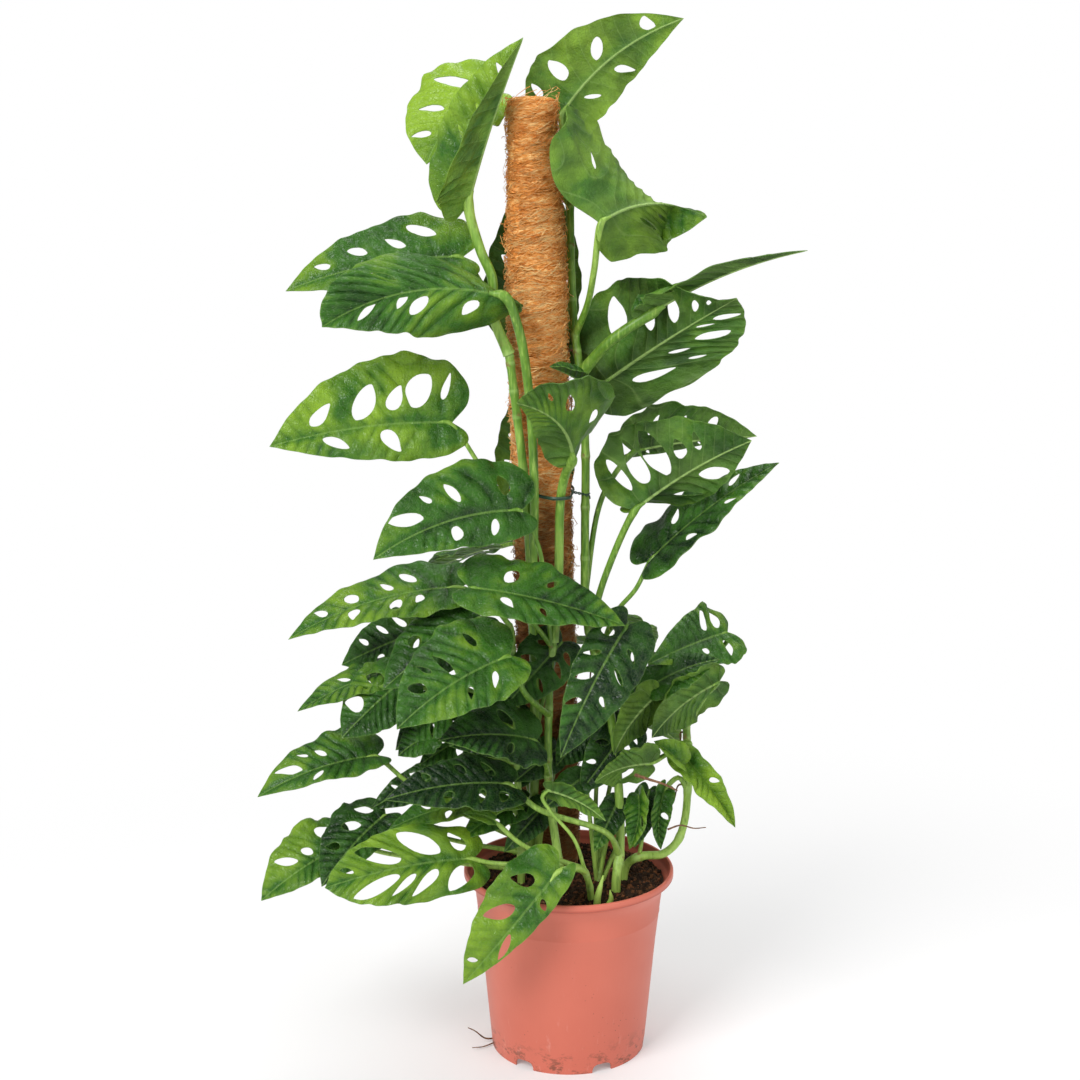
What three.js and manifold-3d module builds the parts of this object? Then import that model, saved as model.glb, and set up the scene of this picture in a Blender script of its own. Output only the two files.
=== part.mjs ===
// A potted monstera obliqua: leafy stems climbing a coir pole in a plastic nursery pot.
// Sizes are in millimetres with +Z up. The origin is the middle of the pot's base, on the ground,
// and the front of the plant looks along -Y.

import * as THREE from 'three';
import { mergeVertices } from 'three/addons/utils/BufferGeometryUtils.js';
import Module from 'manifold-3d';

const wasm = await Module();
wasm.setup();

// Pot
const POT_HEIGHT = 170;
const RIM_RADIUS = 95;
const FOOT_RADIUS = 70;
const LIP_HEIGHT = 6.5;
const WALL = 1.6;
const FOOT_HEIGHT = 6;
const BASE_DISC_RADIUS = 38;
const ARCH_COUNT = 6;
const ARCH_WIDTH = 19;
const ARCH_HEIGHT = 8;
const ARCH_DEPTH = 14;
const FIRST_ARCH_ANGLE = -65;
const DRAIN_RADIUS = 4.5;
const DRAIN_CIRCLE = 55;
const POT_SIDES = 36;

// Soil
const SOIL_LEVEL = 157;
const SOIL_MOUND = 7;
const SOIL_GAP = 0.35;
const HOLE_CLEARANCE = 0.5;

// Pole: a wooden stake wound with coir
const POLE_FOOT = new THREE.Vector3(-14, 39, 100);
const POLE_TOP = new THREE.Vector3(-33, 25, 853);
const POLE_RADIUS = 26.5;
const POLE_TOP_RADIUS = 23;
const POLE_NARROWS_AT = 760;
const POLE_DOME = 9;
const STAKE_RADIUS = 12;
const STAKE_FOOT = 16;
const STAKE_BELOW_TOP = 24;
const STAKE_GAP = 0.3;
const STAKE_SIDES = 12;
const COIR_SIDES = 14;
const WINDING_PITCH = 42;
const WINDING_RELIEF = 0.8;

// Tie
const TIE_HEIGHT = 512;
const TIE_THICKNESS = 1.4;

// Leaves
const BLADE_THICKNESS = 0.8;
const MIDRIB_THICKNESS = 2.2;
const PETIOLE_RADIUS = 2.2;
const PETIOLE_SIDES = 4;
const STEM_SIDES = 6;
const HOLE_POINTS = 5;
const HOLE_LIMITS = [0.13, 0.86];

// One side of a blade's margin, from the notch at the petiole round the lobe and out to the tip:
// how far along the midrib, and how far across as a share of the blade's whole width.
const MARGIN = [
  [-0.08, 0.14], [-0.07, 0.3], [0.05, 0.45], [0.25, 0.5],
  [0.45, 0.44], [0.65, 0.31], [0.83, 0.16], [0.94, 0.06],
];
// From this point of the margin on, each place along the midrib has one width
const WIDE_FROM = 2;
const MIDRIB_STEPS = [0.25, 0.5, 0.75];
// The steps on a leaf that folds up more and more towards its tip
const FOLDED_STEPS = [0.2, 0.4, 0.6, 0.75, 0.88];

// The leafy stems. A route runs up the middle of a stem from inside the soil. A leaf leaves its
// stem at a share of the route and passes the points of its petiole. It is set by the base and tip
// of its midrib, the way its upper side faces, and how far its left and right halves reach. The
// midrib may bow to the right (bend) or upwards (arch) by a share of its length. Each half rises by
// an angle (fold), which may grow towards the tip (furl), and may lean towards the tip (slide).
// Holes lie between the side veins: [side, along, across, length, width, slant]. Side is -1 on the
// left and 1 on the right, along is a share of the midrib, and across a share of the blade there.
const LEAFY_STEMS = [
  {
    name: 'stem_left_front',
    radius: 3.9,
    route: [[-37, 4, 116], [-35, 2, 170], [-31, 2, 260], [-31, 0, 350], [-34, -2, 440],
      [-40, -3, 530], [-48, -2, 600], [-53, 0, 640]],
    leaves: [
      { at: 0.99, petiole: [[-66, 3, 668], [-67, 4, 700], [-77, 6, 724]], thick: 3,
        base: [-88, 10, 760], tip: [-40, -15, 898], faces: [-0.35, -1, 0], halves: [42, 34], fold: [5, 118],
        holes: [[-1, 0.78, 0.35, 12, 5, 60], [-1, 0.53, 0.4, 9, 4, 60], [-1, 0.36, 0.55, 12, 4, 55]] },
      { at: 0.93, petiole: [[-60, 10, 655], [-76, 18, 694]],
        base: [-92, 22, 717], tip: [-245, 14, 688], faces: [0, -0.8, 0.6], halves: [30, 44], bend: 0.03,
        holes: [[1, 0.22, 0.62, 25, 8, 25], [1, 0.36, 0.4, 18, 6, 30], [1, 0.57, 0.45, 17, 7, 25],
          [1, 0.77, 0.45, 14, 5, 20], [-1, 0.3, 0.5, 18, 8, 50], [-1, 0.55, 0.5, 14, 7, 50]] },
      { at: 0.58, petiole: [[-31, -12, 520], [-35, -22, 600], [-44, -32, 660]], thick: 3.4,
        base: [-52, -38, 687], tip: [-206, -60, 664], faces: [0, -0.85, 0.5], halves: [32, 48], bend: 0.1,
        fold: [20, 52], slide: [0.05, 0.1], furl: [0, -110],
        holes: [[-1, 0.15, 0.5, 12, 10, 60], [-1, 0.44, 0.45, 15, 12, 60], [1, 0.5, 0.3, 13, 8, 70],
          [1, 0.72, 0.35, 15, 6, 45], [1, 0.25, 0.5, 14, 7, 55]] },
      { at: 0.7, petiole: [[-75, -6, 535]],
        base: [-102, 0, 576], tip: [-258, -20, 558], faces: [0, -0.95, 0.35], halves: [33, 62], bend: 0.03,
        holes: [[1, 0.03, 0.55, 22, 5, 95], [1, 0.17, 0.5, 32, 16, 105], [1, 0.31, 0.36, 24, 11, 105],
          [1, 0.47, 0.4, 29, 16, 105], [1, 0.7, 0.4, 20, 10, 110], [-1, 0.34, 0.5, 20, 11, 55],
          [-1, 0.62, 0.45, 20, 8, 30]] },
    ],
  },
  {
    name: 'stem_behind',
    radius: 4.2,
    route: [[41, -38, 118], [42, -40, 176], [45, -30, 195], [44, -20, 251], [35, 0, 325], [16, 16, 396],
      [14, 20, 463], [14, 20, 546], [11, 22, 600], [4, 37, 655], [1, 44, 715], [0, 46, 760], [-3, 54, 800]],
    leaves: [
      { at: 0.99, petiole: [[-6, 60, 815]],
        base: [-9, 62, 835], tip: [99, 75, 919], faces: [0.1, 0.9, 0.35], halves: [32, 43], bend: 0.08,
        holes: [[1, 0.81, 0.45, 12, 9, 60], [1, 0.52, 0.45, 23, 7, 45], [1, 0.27, 0.5, 24, 11, 60],
          [-1, 0.5, 0.5, 16, 7, 45], [1, 0.05, 0.62, 16, 6, 60]] },
      { at: 0.94, petiole: [[-30, 66, 800], [-54, 68, 842]],
        base: [-63, 62, 856], tip: [-123, 25, 795], faces: [-0.5, -0.8, 0.2], halves: [34, 58], bend: 0.1,
        holes: [[1, 0.22, 0.55, 32, 9, 60], [1, 0.5, 0.5, 20, 6, 60], [1, 0.75, 0.5, 16, 5, 60]] },
      { at: 0.78, petiole: [[15, 20, 676], [20, 0, 706]],
        base: [24, -14, 747], tip: [119, 40, 750], faces: [-0.46, 0.58, 0.66], halves: [88, 106], bend: 0.22,
        fold: [50, 5], slide: [0.25, -0.55], furl: [-90, 170],
        holes: [[-1, 0.35, 0.45, 18, 4, 60], [-1, 0.55, 0.5, 14, 4, 60], [1, 0.2, 0.5, 14, 3, 70]] },
      { at: 0.76, petiole: [[2, 52, 636], [-14, 68, 640]],
        base: [-35, 76, 649], tip: [-26, 74, 794], faces: [0, 1, 0], halves: [44, 44] },
      { at: 0.73, petiole: [[34, 8, 645]], thick: 3.4,
        base: [68, 0, 670], tip: [198, -25, 725], faces: [0, 0.3, 0.95], halves: [30, 30], bend: 0.02,
        fold: [22, 22], holes: [[1, 0.3, 0.6, 8, 6, 60], [-1, 0.4, 0.5, 14, 6, 60]] },
      { at: 0.71, petiole: [[18, 32, 598]],
        base: [26, 35, 603], tip: [140, -20, 685], faces: [0.1, 0.95, 0.3], halves: [43, 70],
        slide: [0.15, 0.05], fold: [8, 35], furl: [0, -90],
        holes: [[1, 0.24, 0.6, 30, 15, 75], [1, 0.42, 0.4, 20, 11, 70], [1, 0.6, 0.4, 21, 10, 65],
          [1, 0.76, 0.42, 10, 6, 60], [-1, 0.22, 0.5, 19, 8, 35], [-1, 0.56, 0.5, 16, 7, 35]] },
      { at: 0.69, petiole: [[16, 6, 600]],
        base: [17, -6, 607], tip: [-18, -30, 628], faces: [0, -0.3, 0.9], halves: [18, 18], fold: [40, 30],
        holes: [] },
      { at: 0.4, petiole: [[32, 4, 440]], thick: 2.8,
        base: [55, -15, 501], tip: [152, -50, 568], faces: [0.1, 0.9, 0.3], halves: [36, 66], bend: 0.02,
        holes: [[1, 0.06, 0.6, 20, 6, 95], [1, 0.22, 0.42, 20, 10, 95], [1, 0.38, 0.42, 23, 13, 90],
          [1, 0.54, 0.36, 12, 7, 85], [-1, 0.62, 0.5, 14, 8, 30], [-1, 0.36, 0.55, 18, 5, 35]] },
      { at: 0.45, petiole: [[30, 36, 505]], thick: 2.8,
        base: [57, 55, 542], tip: [169, 60, 555], faces: [0, 0.9, 0.45], halves: [36, 44] },
      { at: 0.36, petiole: [[40, 0, 405], [58, -8, 430]],
        base: [69, -10, 455], tip: [182, 0, 541], faces: [-0.35, -0.3, 0.85], halves: [44, 34],
        holes: [[-1, 0.72, 0.5, 15, 6, 30], [1, 0.62, 0.5, 13, 5, 35], [1, 0.3, 0.6, 12, 6, 40],
          [-1, 0.3, 0.5, 16, 7, 55]] },
      { at: 0.37, petiole: [[38, -16, 398]],
        base: [49, -55, 410], tip: [-9, -115, 310], faces: [0.2, -0.9, 0.45], halves: [34, 33], bend: 0.03,
        holes: [[1, 0.12, 0.5, 11, 8, 60], [1, 0.46, 0.45, 16, 5, 50], [1, 0.64, 0.5, 13, 5, 50],
          [-1, 0.36, 0.5, 14, 4, 50], [-1, 0.56, 0.5, 10, 4, 50]] },
      { at: 0.11, petiole: [[32, -52, 221], [-28, -60, 246]], thick: 2.8,
        base: [-51, -54, 266], tip: [-158, -100, 268], faces: [0, -0.6, 0.8], halves: [30, 30] },
    ],
  },
  {
    name: 'stem_front',
    radius: 4,
    route: [[-8, -46, 116], [-8, -42, 176], [-18, -25, 252], [-17, -9, 350], [-14, -7, 385]],
    leaves: [
      { at: 0.99, petiole: [[-10, -8, 431], [-8, -9, 512], [-4, -18, 534]], thick: 3.6,
        base: [2, -36, 549], tip: [-45, -104, 607], faces: [0.1, 0.85, 0.5], halves: [57, 26], bend: -0.12,
        holes: [[-1, 0.5, 0.4, 16, 8, 60], [-1, 0.2, 0.5, 12, 7, 60]] },
      { at: 0.95, petiole: [[-22, -24, 440], [-28, -32, 475]],
        base: [-41, -38, 506], tip: [-165, -85, 473], faces: [0, -0.9, 0.45], halves: [29, 49], bend: 0.07,
        holes: [[1, 0.72, 0.5, 28, 10, 25], [1, 0.1, 0.5, 18, 8, 80], [1, 0.4, 0.5, 20, 7, 70],
          [-1, 0.46, 0.5, 13, 10, 60], [-1, 0.2, 0.5, 17, 6, 70]] },
      { at: 0.97, petiole: [[-38, -30, 410], [-78, -60, 436]],
        base: [-86, -74, 447], tip: [46, -72, 413], faces: [0, -0.5, 0.85], halves: [44, 32],
        holes: [[-1, 0.25, 0.45, 16, 11, 60], [1, 0.25, 0.4, 14, 8, 50], [-1, 0.5, 0.5, 12, 5, 50]] },
      { at: 0.75, petiole: [[-24, -36, 328], [-40, -60, 352]], thick: 2.8,
        base: [-51, -72, 387], tip: [-145, -118, 336], faces: [-0.1, -0.75, 0.65], halves: [32, 50],
        bend: 0.04,
        holes: [[1, 0.45, 0.4, 24, 6, 80], [-1, 0.2, 0.45, 14, 5, 60], [1, 0.7, 0.45, 16, 8, 50],
          [-1, 0.42, 0.5, 12, 5, 60], [1, 0.2, 0.55, 16, 5, 75]] },
      { at: 0.55, petiole: [[-22, -42, 282]],
        base: [-29, -54, 306], tip: [-112, -92, 318], faces: [0, -0.55, 0.8], halves: [32, 38],
        holes: [[1, 0.3, 0.45, 20, 9, 60], [-1, 0.35, 0.5, 12, 6, 55]] },
    ],
  },
  {
    name: 'stem_left',
    radius: 3.6,
    route: [[-44, -24, 118], [-43, -22, 176], [-46, -18, 260], [-48, -14, 340], [-52, -12, 400]],
    leaves: [
      { at: 0.99, petiole: [[-75, -4, 422]],
        base: [-95, 0, 430], tip: [-245, -30, 390], faces: [0, -0.45, 0.9], halves: [32, 36], bend: 0.05,
        holes: [[1, 0.28, 0.5, 16, 7, 45], [1, 0.4, 0.35, 12, 6, 45], [-1, 0.38, 0.45, 14, 10, 55],
          [1, 0.6, 0.4, 14, 9, 50], [1, 0.8, 0.4, 12, 5, 30]] },
      { at: 0.95, petiole: [[-62, -16, 400]],
        base: [-78, -20, 408], tip: [-162, -50, 350], faces: [-0.2, -0.6, 0.75], halves: [38, 42],
        holes: [[1, 0.55, 0.5, 13, 10, 60], [-1, 0.4, 0.5, 14, 7, 55]] },
      { at: 0.85, petiole: [[-90, 14, 372]],
        base: [-134, 34, 381], tip: [-205, 24, 352], faces: [0, -0.7, 0.6], halves: [30, 30] },
      { at: 0.72, petiole: [[-95, 0, 338]],
        base: [-153, 12, 353], tip: [-240, -20, 322], faces: [0, -0.25, 0.95], halves: [26, 26],
        holes: [[-1, 0.12, 0.5, 12, 8, 60], [-1, 0.35, 0.5, 12, 7, 60], [1, 0.5, 0.4, 12, 5, 40]] },
      { at: 0.66, petiole: [[-95, -14, 322]],
        base: [-145, -12, 350], tip: [-200, -35, 302], faces: [-0.3, -0.8, 0.5], halves: [32, 36],
        holes: [[1, 0.25, 0.5, 16, 11, 60], [1, 0.62, 0.5, 16, 12, 50]] },
      { at: 0.3, petiole: [[-100, -26, 232], [-143, -25, 258]],
        base: [-170, -22, 282], tip: [-273, -50, 253], faces: [-0.1, -0.5, 0.85], halves: [20, 38],
        holes: [[-1, 0.5, 0.5, 14, 6, 30], [1, 0.42, 0.45, 12, 5, 60],
          [1, 0.65, 0.5, 12, 5, 30]] },
      { at: 0.55, petiole: [[-95, -22, 290]],
        base: [-120, -22, 302], tip: [-151, -30, 284], faces: [0, -0.5, 0.85], halves: [20, 20],
        holes: [] },
      { at: 0.38, petiole: [],
        base: [-54, -22, 238], tip: [-159, -60, 226], faces: [0, 0.05, 1], halves: [26, 26] },
      { at: 0.26, petiole: [[-100, -30, 205], [-150, -34, 222]],
        base: [-162, -38, 233], tip: [-238, -94, 176], faces: [-0.1, -0.6, 0.75], halves: [20, 40],
        holes: [[1, 0.1, 0.55, 15, 8, 60], [1, 0.34, 0.4, 16, 8, 50], [1, 0.62, 0.5, 12, 6, 50]] },
      { at: 0.2, petiole: [[-100, -34, 186], [-160, -38, 196]],
        base: [-195, -48, 210], tip: [-268, -80, 169], faces: [-0.4, -0.75, 0.5], halves: [20, 40],
        holes: [[1, 0.12, 0.52, 18, 13, 40], [1, 0.38, 0.3, 10, 7, 60], [1, 0.6, 0.45, 18, 7, 35]] },
    ],
  },
  {
    name: 'stem_low_front',
    radius: 3.4,
    route: [[18, -54, 120], [18, -60, 172], [12, -64, 194]],
    leaves: [
      { at: 0.95, petiole: [[-30, -66, 196], [-70, -62, 197]],
        base: [-84, -60, 200], tip: [-209, -110, 193], faces: [0, -0.85, 0.5], halves: [31, 33], bend: 0.02,
        holes: [[1, 0.6, 0.5, 24, 13, 25], [1, 0.3, 0.52, 24, 14, 55], [1, 0.09, 0.5, 15, 9, 80],
          [-1, 0.68, 0.5, 24, 9, 20], [-1, 0.48, 0.5, 17, 7, 50], [-1, 0.34, 0.5, 19, 7, 60],
          [-1, 0.17, 0.52, 20, 11, 60]] },
      { at: 0.92, petiole: [[5, -82, 200]], thick: 2.8,
        base: [-9, -96, 204], tip: [-92, -112, 106], faces: [0, -0.95, 0.3], halves: [17, 38],
        holes: [[1, 0.2, 0.5, 18, 10, 60], [1, 0.46, 0.48, 24, 10, 35], [-1, 0.5, 0.5, 16, 4, 25]] },
      { at: 0.97, petiole: [[-40, -68, 215]],
        base: [-66, -66, 238], tip: [-92, -72, 246], faces: [0, -0.5, 0.85], halves: [8, 8], holes: [] },
      { at: 0.9, petiole: [[3, -74, 224], [-17, -72, 248], [-24, -72, 261]], thick: 1.7,
        base: [-19, -74, 268], tip: [30, -96, 248], faces: [0, 0.8, 0.5], halves: [15, 15], holes: [] },
    ],
  },
  {
    name: 'stem_right_base',
    radius: 4,
    route: [[50, -12, 120], [52, -14, 176], [66, -20, 187], [84, -20, 189], [97, -14, 198], [104, -6, 214],
      [107, 0, 242], [106, 4, 288], [104, 12, 322]],
    leaves: [
      { at: 0.99, petiole: [[120, 44, 345], [146, 62, 364]],
        base: [146, 58, 374], tip: [70, -2, 360], faces: [-0.2, -0.8, 0.5], halves: [32, 36],
        holes: [[1, 0.33, 0.5, 19, 8, 70], [1, 0.1, 0.5, 20, 13, 80], [-1, 0.44, 0.4, 8, 5, 50],
          [-1, 0.16, 0.5, 16, 8, 60]] },
      { at: 0.92, petiole: [[88, 2, 325]],
        base: [72, -8, 341], tip: [134, 4, 363], faces: [0, -0.5, 0.85], halves: [22, 22], holes: [] },
      { at: 0.95, petiole: [[94, 0, 330]],
        base: [78, -14, 336], tip: [38, -50, 292], faces: [0.3, 0.75, 0.6], halves: [22, 22], holes: [] },
      { at: 0.9, petiole: [[122, 10, 326]],
        base: [134, 0, 344], tip: [72, -34, 302], faces: [0, 0.6, 0.75], halves: [28, 28],
        holes: [] },
      { at: 0.8, petiole: [[108, -4, 288]],
        base: [98, -12, 282], tip: [148, -26, 216], faces: [0.5, -0.8, 0.3], halves: [13, 20],
        fold: [35, 35], holes: [[-1, 0.45, 0.5, 9, 4, 50]] },
      { at: 0.7, petiole: [[90, -28, 286]],
        base: [72, -38, 280], tip: [21, -70, 274], faces: [0, 0.8, 0.5], halves: [20, 20],
        holes: [[1, 0.3, 0.5, 12, 7, 60]] },
      { at: 0.3, petiole: [[68, -22, 226], [66, -23, 242], [64, -27, 250]], thick: 1.7,
        base: [61, -33, 249], tip: [56, -58, 205], faces: [-0.4, -0.85, 0.3], halves: [15, 13],
        holes: [] },
      { at: 0.66, petiole: [[98, -6, 256]],
        base: [86, -8, 246], tip: [79, -28, 196], faces: [0.2, -0.9, 0.3], halves: [13, 13], holes: [] },
    ],
  },
  {
    name: 'stem_back',
    radius: 3.8,
    route: [[-48, 50, 118], [-48, 56, 176], [-40, 64, 260], [-33, 67, 340], [-29, 66, 430], [-29, 65, 480]],
    leaves: [
      { at: 0.99, petiole: [[-31, 76, 490]],
        base: [-32, 80, 500], tip: [-26, 92, 620], faces: [0, 1, 0.1], halves: [37, 37] },
      { at: 0.9, petiole: [[-48, 90, 450]],
        base: [-62, 100, 446], tip: [-138, 175, 400], faces: [-0.2, 0.3, 0.9], halves: [40, 40] },
      { at: 0.74, petiole: [[-6, 84, 378]],
        base: [12, 92, 380], tip: [88, 172, 334], faces: [0.1, 0.3, 0.9], halves: [41, 41] },
      { at: 0.62, petiole: [[-24, 96, 350]],
        base: [-20, 110, 352], tip: [-16, 226, 306], faces: [0, 0.35, 0.9], halves: [40, 40] },
      { at: 0.44, petiole: [[-60, 84, 296]],
        base: [-78, 96, 296], tip: [-160, 160, 236], faces: [-0.2, 0.3, 0.9], halves: [40, 40] },
      { at: 0.4, petiole: [[6, 80, 282]],
        base: [34, 90, 286], tip: [112, 158, 234], faces: [0.3, 0.4, 0.85], halves: [38, 38] },
    ],
  },
];

// Colours and finishes
const FINISH = {
  pot: { color: 0xd9735a, roughness: 0.45, metalness: 0 },
  soil: { color: 0x2f211b, roughness: 0.95, metalness: 0 },
  coir: { color: 0xb8753f, roughness: 0.95, metalness: 0 },
  stake: { color: 0xc9a877, roughness: 0.8, metalness: 0 },
  tie: { color: 0x2f4a41, roughness: 0.5, metalness: 0 },
  leaf: { color: 0x3f7d2c, roughness: 0.4, metalness: 0 },
};

const vector = (point) => new THREE.Vector3(...point);
const curveThrough = (points) => new THREE.CatmullRomCurve3(points.map(vector), false, 'centripetal');
const blend = (from, to, share) => from + (to - from) * share;

// A repeatable run of numbers from 0 to 1
function randomNumbers(seed) {
  let state = seed * 2654435761 + 12345;
  return () => {
    state = (state ^ (state << 13)) >>> 0;
    state = (state ^ (state >>> 17)) >>> 0;
    state = (state ^ (state << 5)) >>> 0;
    return state / 4294967296;
  };
}

// Solids for joining and cutting

function toSolid(geometry) {
  const bare = geometry.clone();
  bare.deleteAttribute('normal');
  bare.deleteAttribute('uv');
  const merged = mergeVertices(bare, 1e-4);
  return new wasm.Manifold(new wasm.Mesh({
    numProp: 3,
    vertProperties: new Float32Array(merged.attributes.position.array),
    triVerts: new Uint32Array(merged.index.array),
  }));
}

function toGeometry(solid) {
  const { vertProperties, triVerts } = solid.getMesh();
  const geometry = new THREE.BufferGeometry();
  geometry.setAttribute('position', new THREE.BufferAttribute(new Float32Array(vertProperties), 3));
  geometry.setIndex(new THREE.BufferAttribute(new Uint32Array(triVerts), 1));
  return geometry;
}

function lathe(profile, sides) {
  const points = profile.map(([radius, height]) => new THREE.Vector2(radius, height));
  const geometry = new THREE.LatheGeometry(points, sides);
  geometry.rotateX(Math.PI / 2);
  return geometry;
}

function tube(curve, radius, sides, steps) {
  const corner = (k) => {
    const angle = (2 * Math.PI * k) / sides;
    return new THREE.Vector2(radius * Math.cos(angle), radius * Math.sin(angle));
  };
  const section = new THREE.Shape(Array.from({ length: sides }, (_, k) => corner(k)));
  return new THREE.ExtrudeGeometry(section, { steps, bevelEnabled: false, extrudePath: curve });
}

// Pot

// The inside of the pot's wall, from the floor up to the lip
const POT_INSIDE = [
  [FOOT_RADIUS - WALL, FOOT_HEIGHT + WALL],
  [78, 105],
  [83, 149],
  [86, 156],
  [90, 161.5],
  [91.4, POT_HEIGHT - LIP_HEIGHT + 2],
];

function potProfile() {
  const outside = [
    [0, 0],
    [BASE_DISC_RADIUS, 0],
    [BASE_DISC_RADIUS + 2, FOOT_HEIGHT],
    [FOOT_RADIUS - WALL, FOOT_HEIGHT],
    [FOOT_RADIUS - WALL, 0],
    [FOOT_RADIUS, 0],
    [79.6, 105],
    [84.7, 149],
    [87.5, 156],
    [91.5, POT_HEIGHT - LIP_HEIGHT - 1],
    [RIM_RADIUS, POT_HEIGHT - LIP_HEIGHT],
    [RIM_RADIUS, POT_HEIGHT - 1.5],
    [RIM_RADIUS - 1.2, POT_HEIGHT],
    [92.2, POT_HEIGHT],
  ];
  const floor = [
    [BASE_DISC_RADIUS + 2 - WALL, FOOT_HEIGHT + WALL],
    [BASE_DISC_RADIUS - WALL, WALL],
    [0, WALL],
  ];
  return [...outside, ...POT_INSIDE.toReversed(), ...floor];
}

function footArch(angle) {
  const half = ARCH_WIDTH / 2;
  const outline = new THREE.Shape();
  outline.moveTo(-half, -1);
  outline.lineTo(half, -1);
  outline.quadraticCurveTo(half * 0.85, ARCH_HEIGHT, half * 0.4, ARCH_HEIGHT);
  outline.lineTo(-half * 0.4, ARCH_HEIGHT);
  outline.quadraticCurveTo(-half * 0.85, ARCH_HEIGHT, -half, -1);
  const geometry = new THREE.ExtrudeGeometry(outline, { depth: ARCH_DEPTH, bevelEnabled: false, curveSegments: 3 });
  geometry.rotateX(Math.PI / 2);
  geometry.rotateZ(Math.PI / 2);
  geometry.translate(FOOT_RADIUS - 5, 0, 0);
  geometry.rotateZ(THREE.MathUtils.degToRad(angle));
  return toSolid(geometry);
}

function drainHole(angle) {
  const hole = new THREE.CylinderGeometry(DRAIN_RADIUS, DRAIN_RADIUS, 4 * WALL, 10);
  hole.rotateX(Math.PI / 2);
  hole.translate(DRAIN_CIRCLE, 0, FOOT_HEIGHT + WALL / 2);
  hole.rotateZ(THREE.MathUtils.degToRad(angle));
  return toSolid(hole);
}

function buildPot() {
  let pot = toSolid(lathe(potProfile(), POT_SIDES));
  for (let k = 0; k < ARCH_COUNT; k += 1) {
    const angle = FIRST_ARCH_ANGLE + (360 / ARCH_COUNT) * k;
    pot = pot.subtract(footArch(angle)).subtract(drainHole(angle));
  }
  return toGeometry(pot);
}

// Soil

function soilHeight(x, y) {
  const fromMiddle = Math.hypot(x, y) / RIM_RADIUS;
  const lumps = Math.sin(x * 0.16 + 1) * Math.cos(y * 0.13) + 0.6 * Math.sin(x * 0.31 - y * 0.27);
  return SOIL_LEVEL + SOIL_MOUND * (1 - fromMiddle * fromMiddle) + lumps * (1 - fromMiddle * 0.6);
}

function buildSoil(stemHoles) {
  const side = POT_INSIDE
    .filter(([, height]) => height < SOIL_LEVEL)
    .map(([radius, height]) => [radius - SOIL_GAP, height + SOIL_GAP]);
  const topRings = [52];
  const profile = [
    [0, WALL + SOIL_GAP],
    [BASE_DISC_RADIUS - WALL - SOIL_GAP, WALL + SOIL_GAP],
    [BASE_DISC_RADIUS + 2 - WALL - SOIL_GAP, FOOT_HEIGHT + WALL + SOIL_GAP],
    ...side,
    ...topRings.map((radius) => [radius, SOIL_LEVEL]),
    [0, SOIL_LEVEL],
  ];
  const geometry = lathe(profile, POT_SIDES);
  const position = geometry.attributes.position;
  for (let k = 0; k < position.count; k += 1) {
    if (position.getZ(k) > SOIL_LEVEL - 2) {
      position.setZ(k, soilHeight(position.getX(k), position.getY(k)));
    }
  }
  return toGeometry(stemHoles.reduce((soil, hole) => soil.subtract(hole), toSolid(geometry)));
}

// Pole

function poleCentre(height) {
  const share = (height - POLE_FOOT.z) / (POLE_TOP.z - POLE_FOOT.z);
  return new THREE.Vector3().lerpVectors(POLE_FOOT, POLE_TOP, share);
}

// Stands a shape that was turned about +Z on the pole's leaning centre line
function leanWithPole(geometry) {
  const position = geometry.attributes.position;
  for (let k = 0; k < position.count; k += 1) {
    const centre = poleCentre(position.getZ(k));
    position.setXY(k, position.getX(k) + centre.x, position.getY(k) + centre.y);
  }
  return geometry;
}

function poleRadius(height) {
  const share = THREE.MathUtils.smoothstep(height, POLE_NARROWS_AT - 40, POLE_NARROWS_AT + 40);
  return blend(POLE_RADIUS, POLE_TOP_RADIUS, share);
}

function stakeProfile(clearance, foot) {
  const radius = STAKE_RADIUS + clearance;
  const top = POLE_TOP.z - STAKE_BELOW_TOP + clearance;
  return [[0, foot], [radius, foot], [radius, top], [0, top]];
}

function coirProfile() {
  const rings = [];
  for (let height = POLE_FOOT.z; height < POLE_TOP.z - POLE_DOME; height += WINDING_PITCH) {
    rings.push([poleRadius(height), height]);
  }
  const shoulder = [
    [POLE_TOP_RADIUS, POLE_TOP.z - POLE_DOME],
    [POLE_TOP_RADIUS * 0.86, POLE_TOP.z - POLE_DOME * 0.35],
    [POLE_TOP_RADIUS * 0.45, POLE_TOP.z],
    [0, POLE_TOP.z],
  ];
  return [[0, POLE_FOOT.z], ...rings, ...shoulder];
}

function buildCoir() {
  const geometry = lathe(coirProfile(), COIR_SIDES);
  const position = geometry.attributes.position;
  for (let k = 0; k < position.count; k += 1) {
    const [x, y, z] = [position.getX(k), position.getY(k), position.getZ(k)];
    const radius = Math.hypot(x, y);
    if (radius > POLE_TOP_RADIUS - 0.1) {
      const lump = WINDING_RELIEF * (Math.sin(z * 0.21 + 2 * Math.atan2(y, x)) - 1);
      position.setXY(k, x * (1 + lump / radius), y * (1 + lump / radius));
    }
  }
  const bore = leanWithPole(lathe(stakeProfile(STAKE_GAP, POLE_FOOT.z - 20), STAKE_SIDES));
  return toGeometry(toSolid(leanWithPole(geometry)).subtract(toSolid(bore)));
}

function buildStake() {
  return leanWithPole(lathe(stakeProfile(0, STAKE_FOOT), STAKE_SIDES));
}

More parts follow.
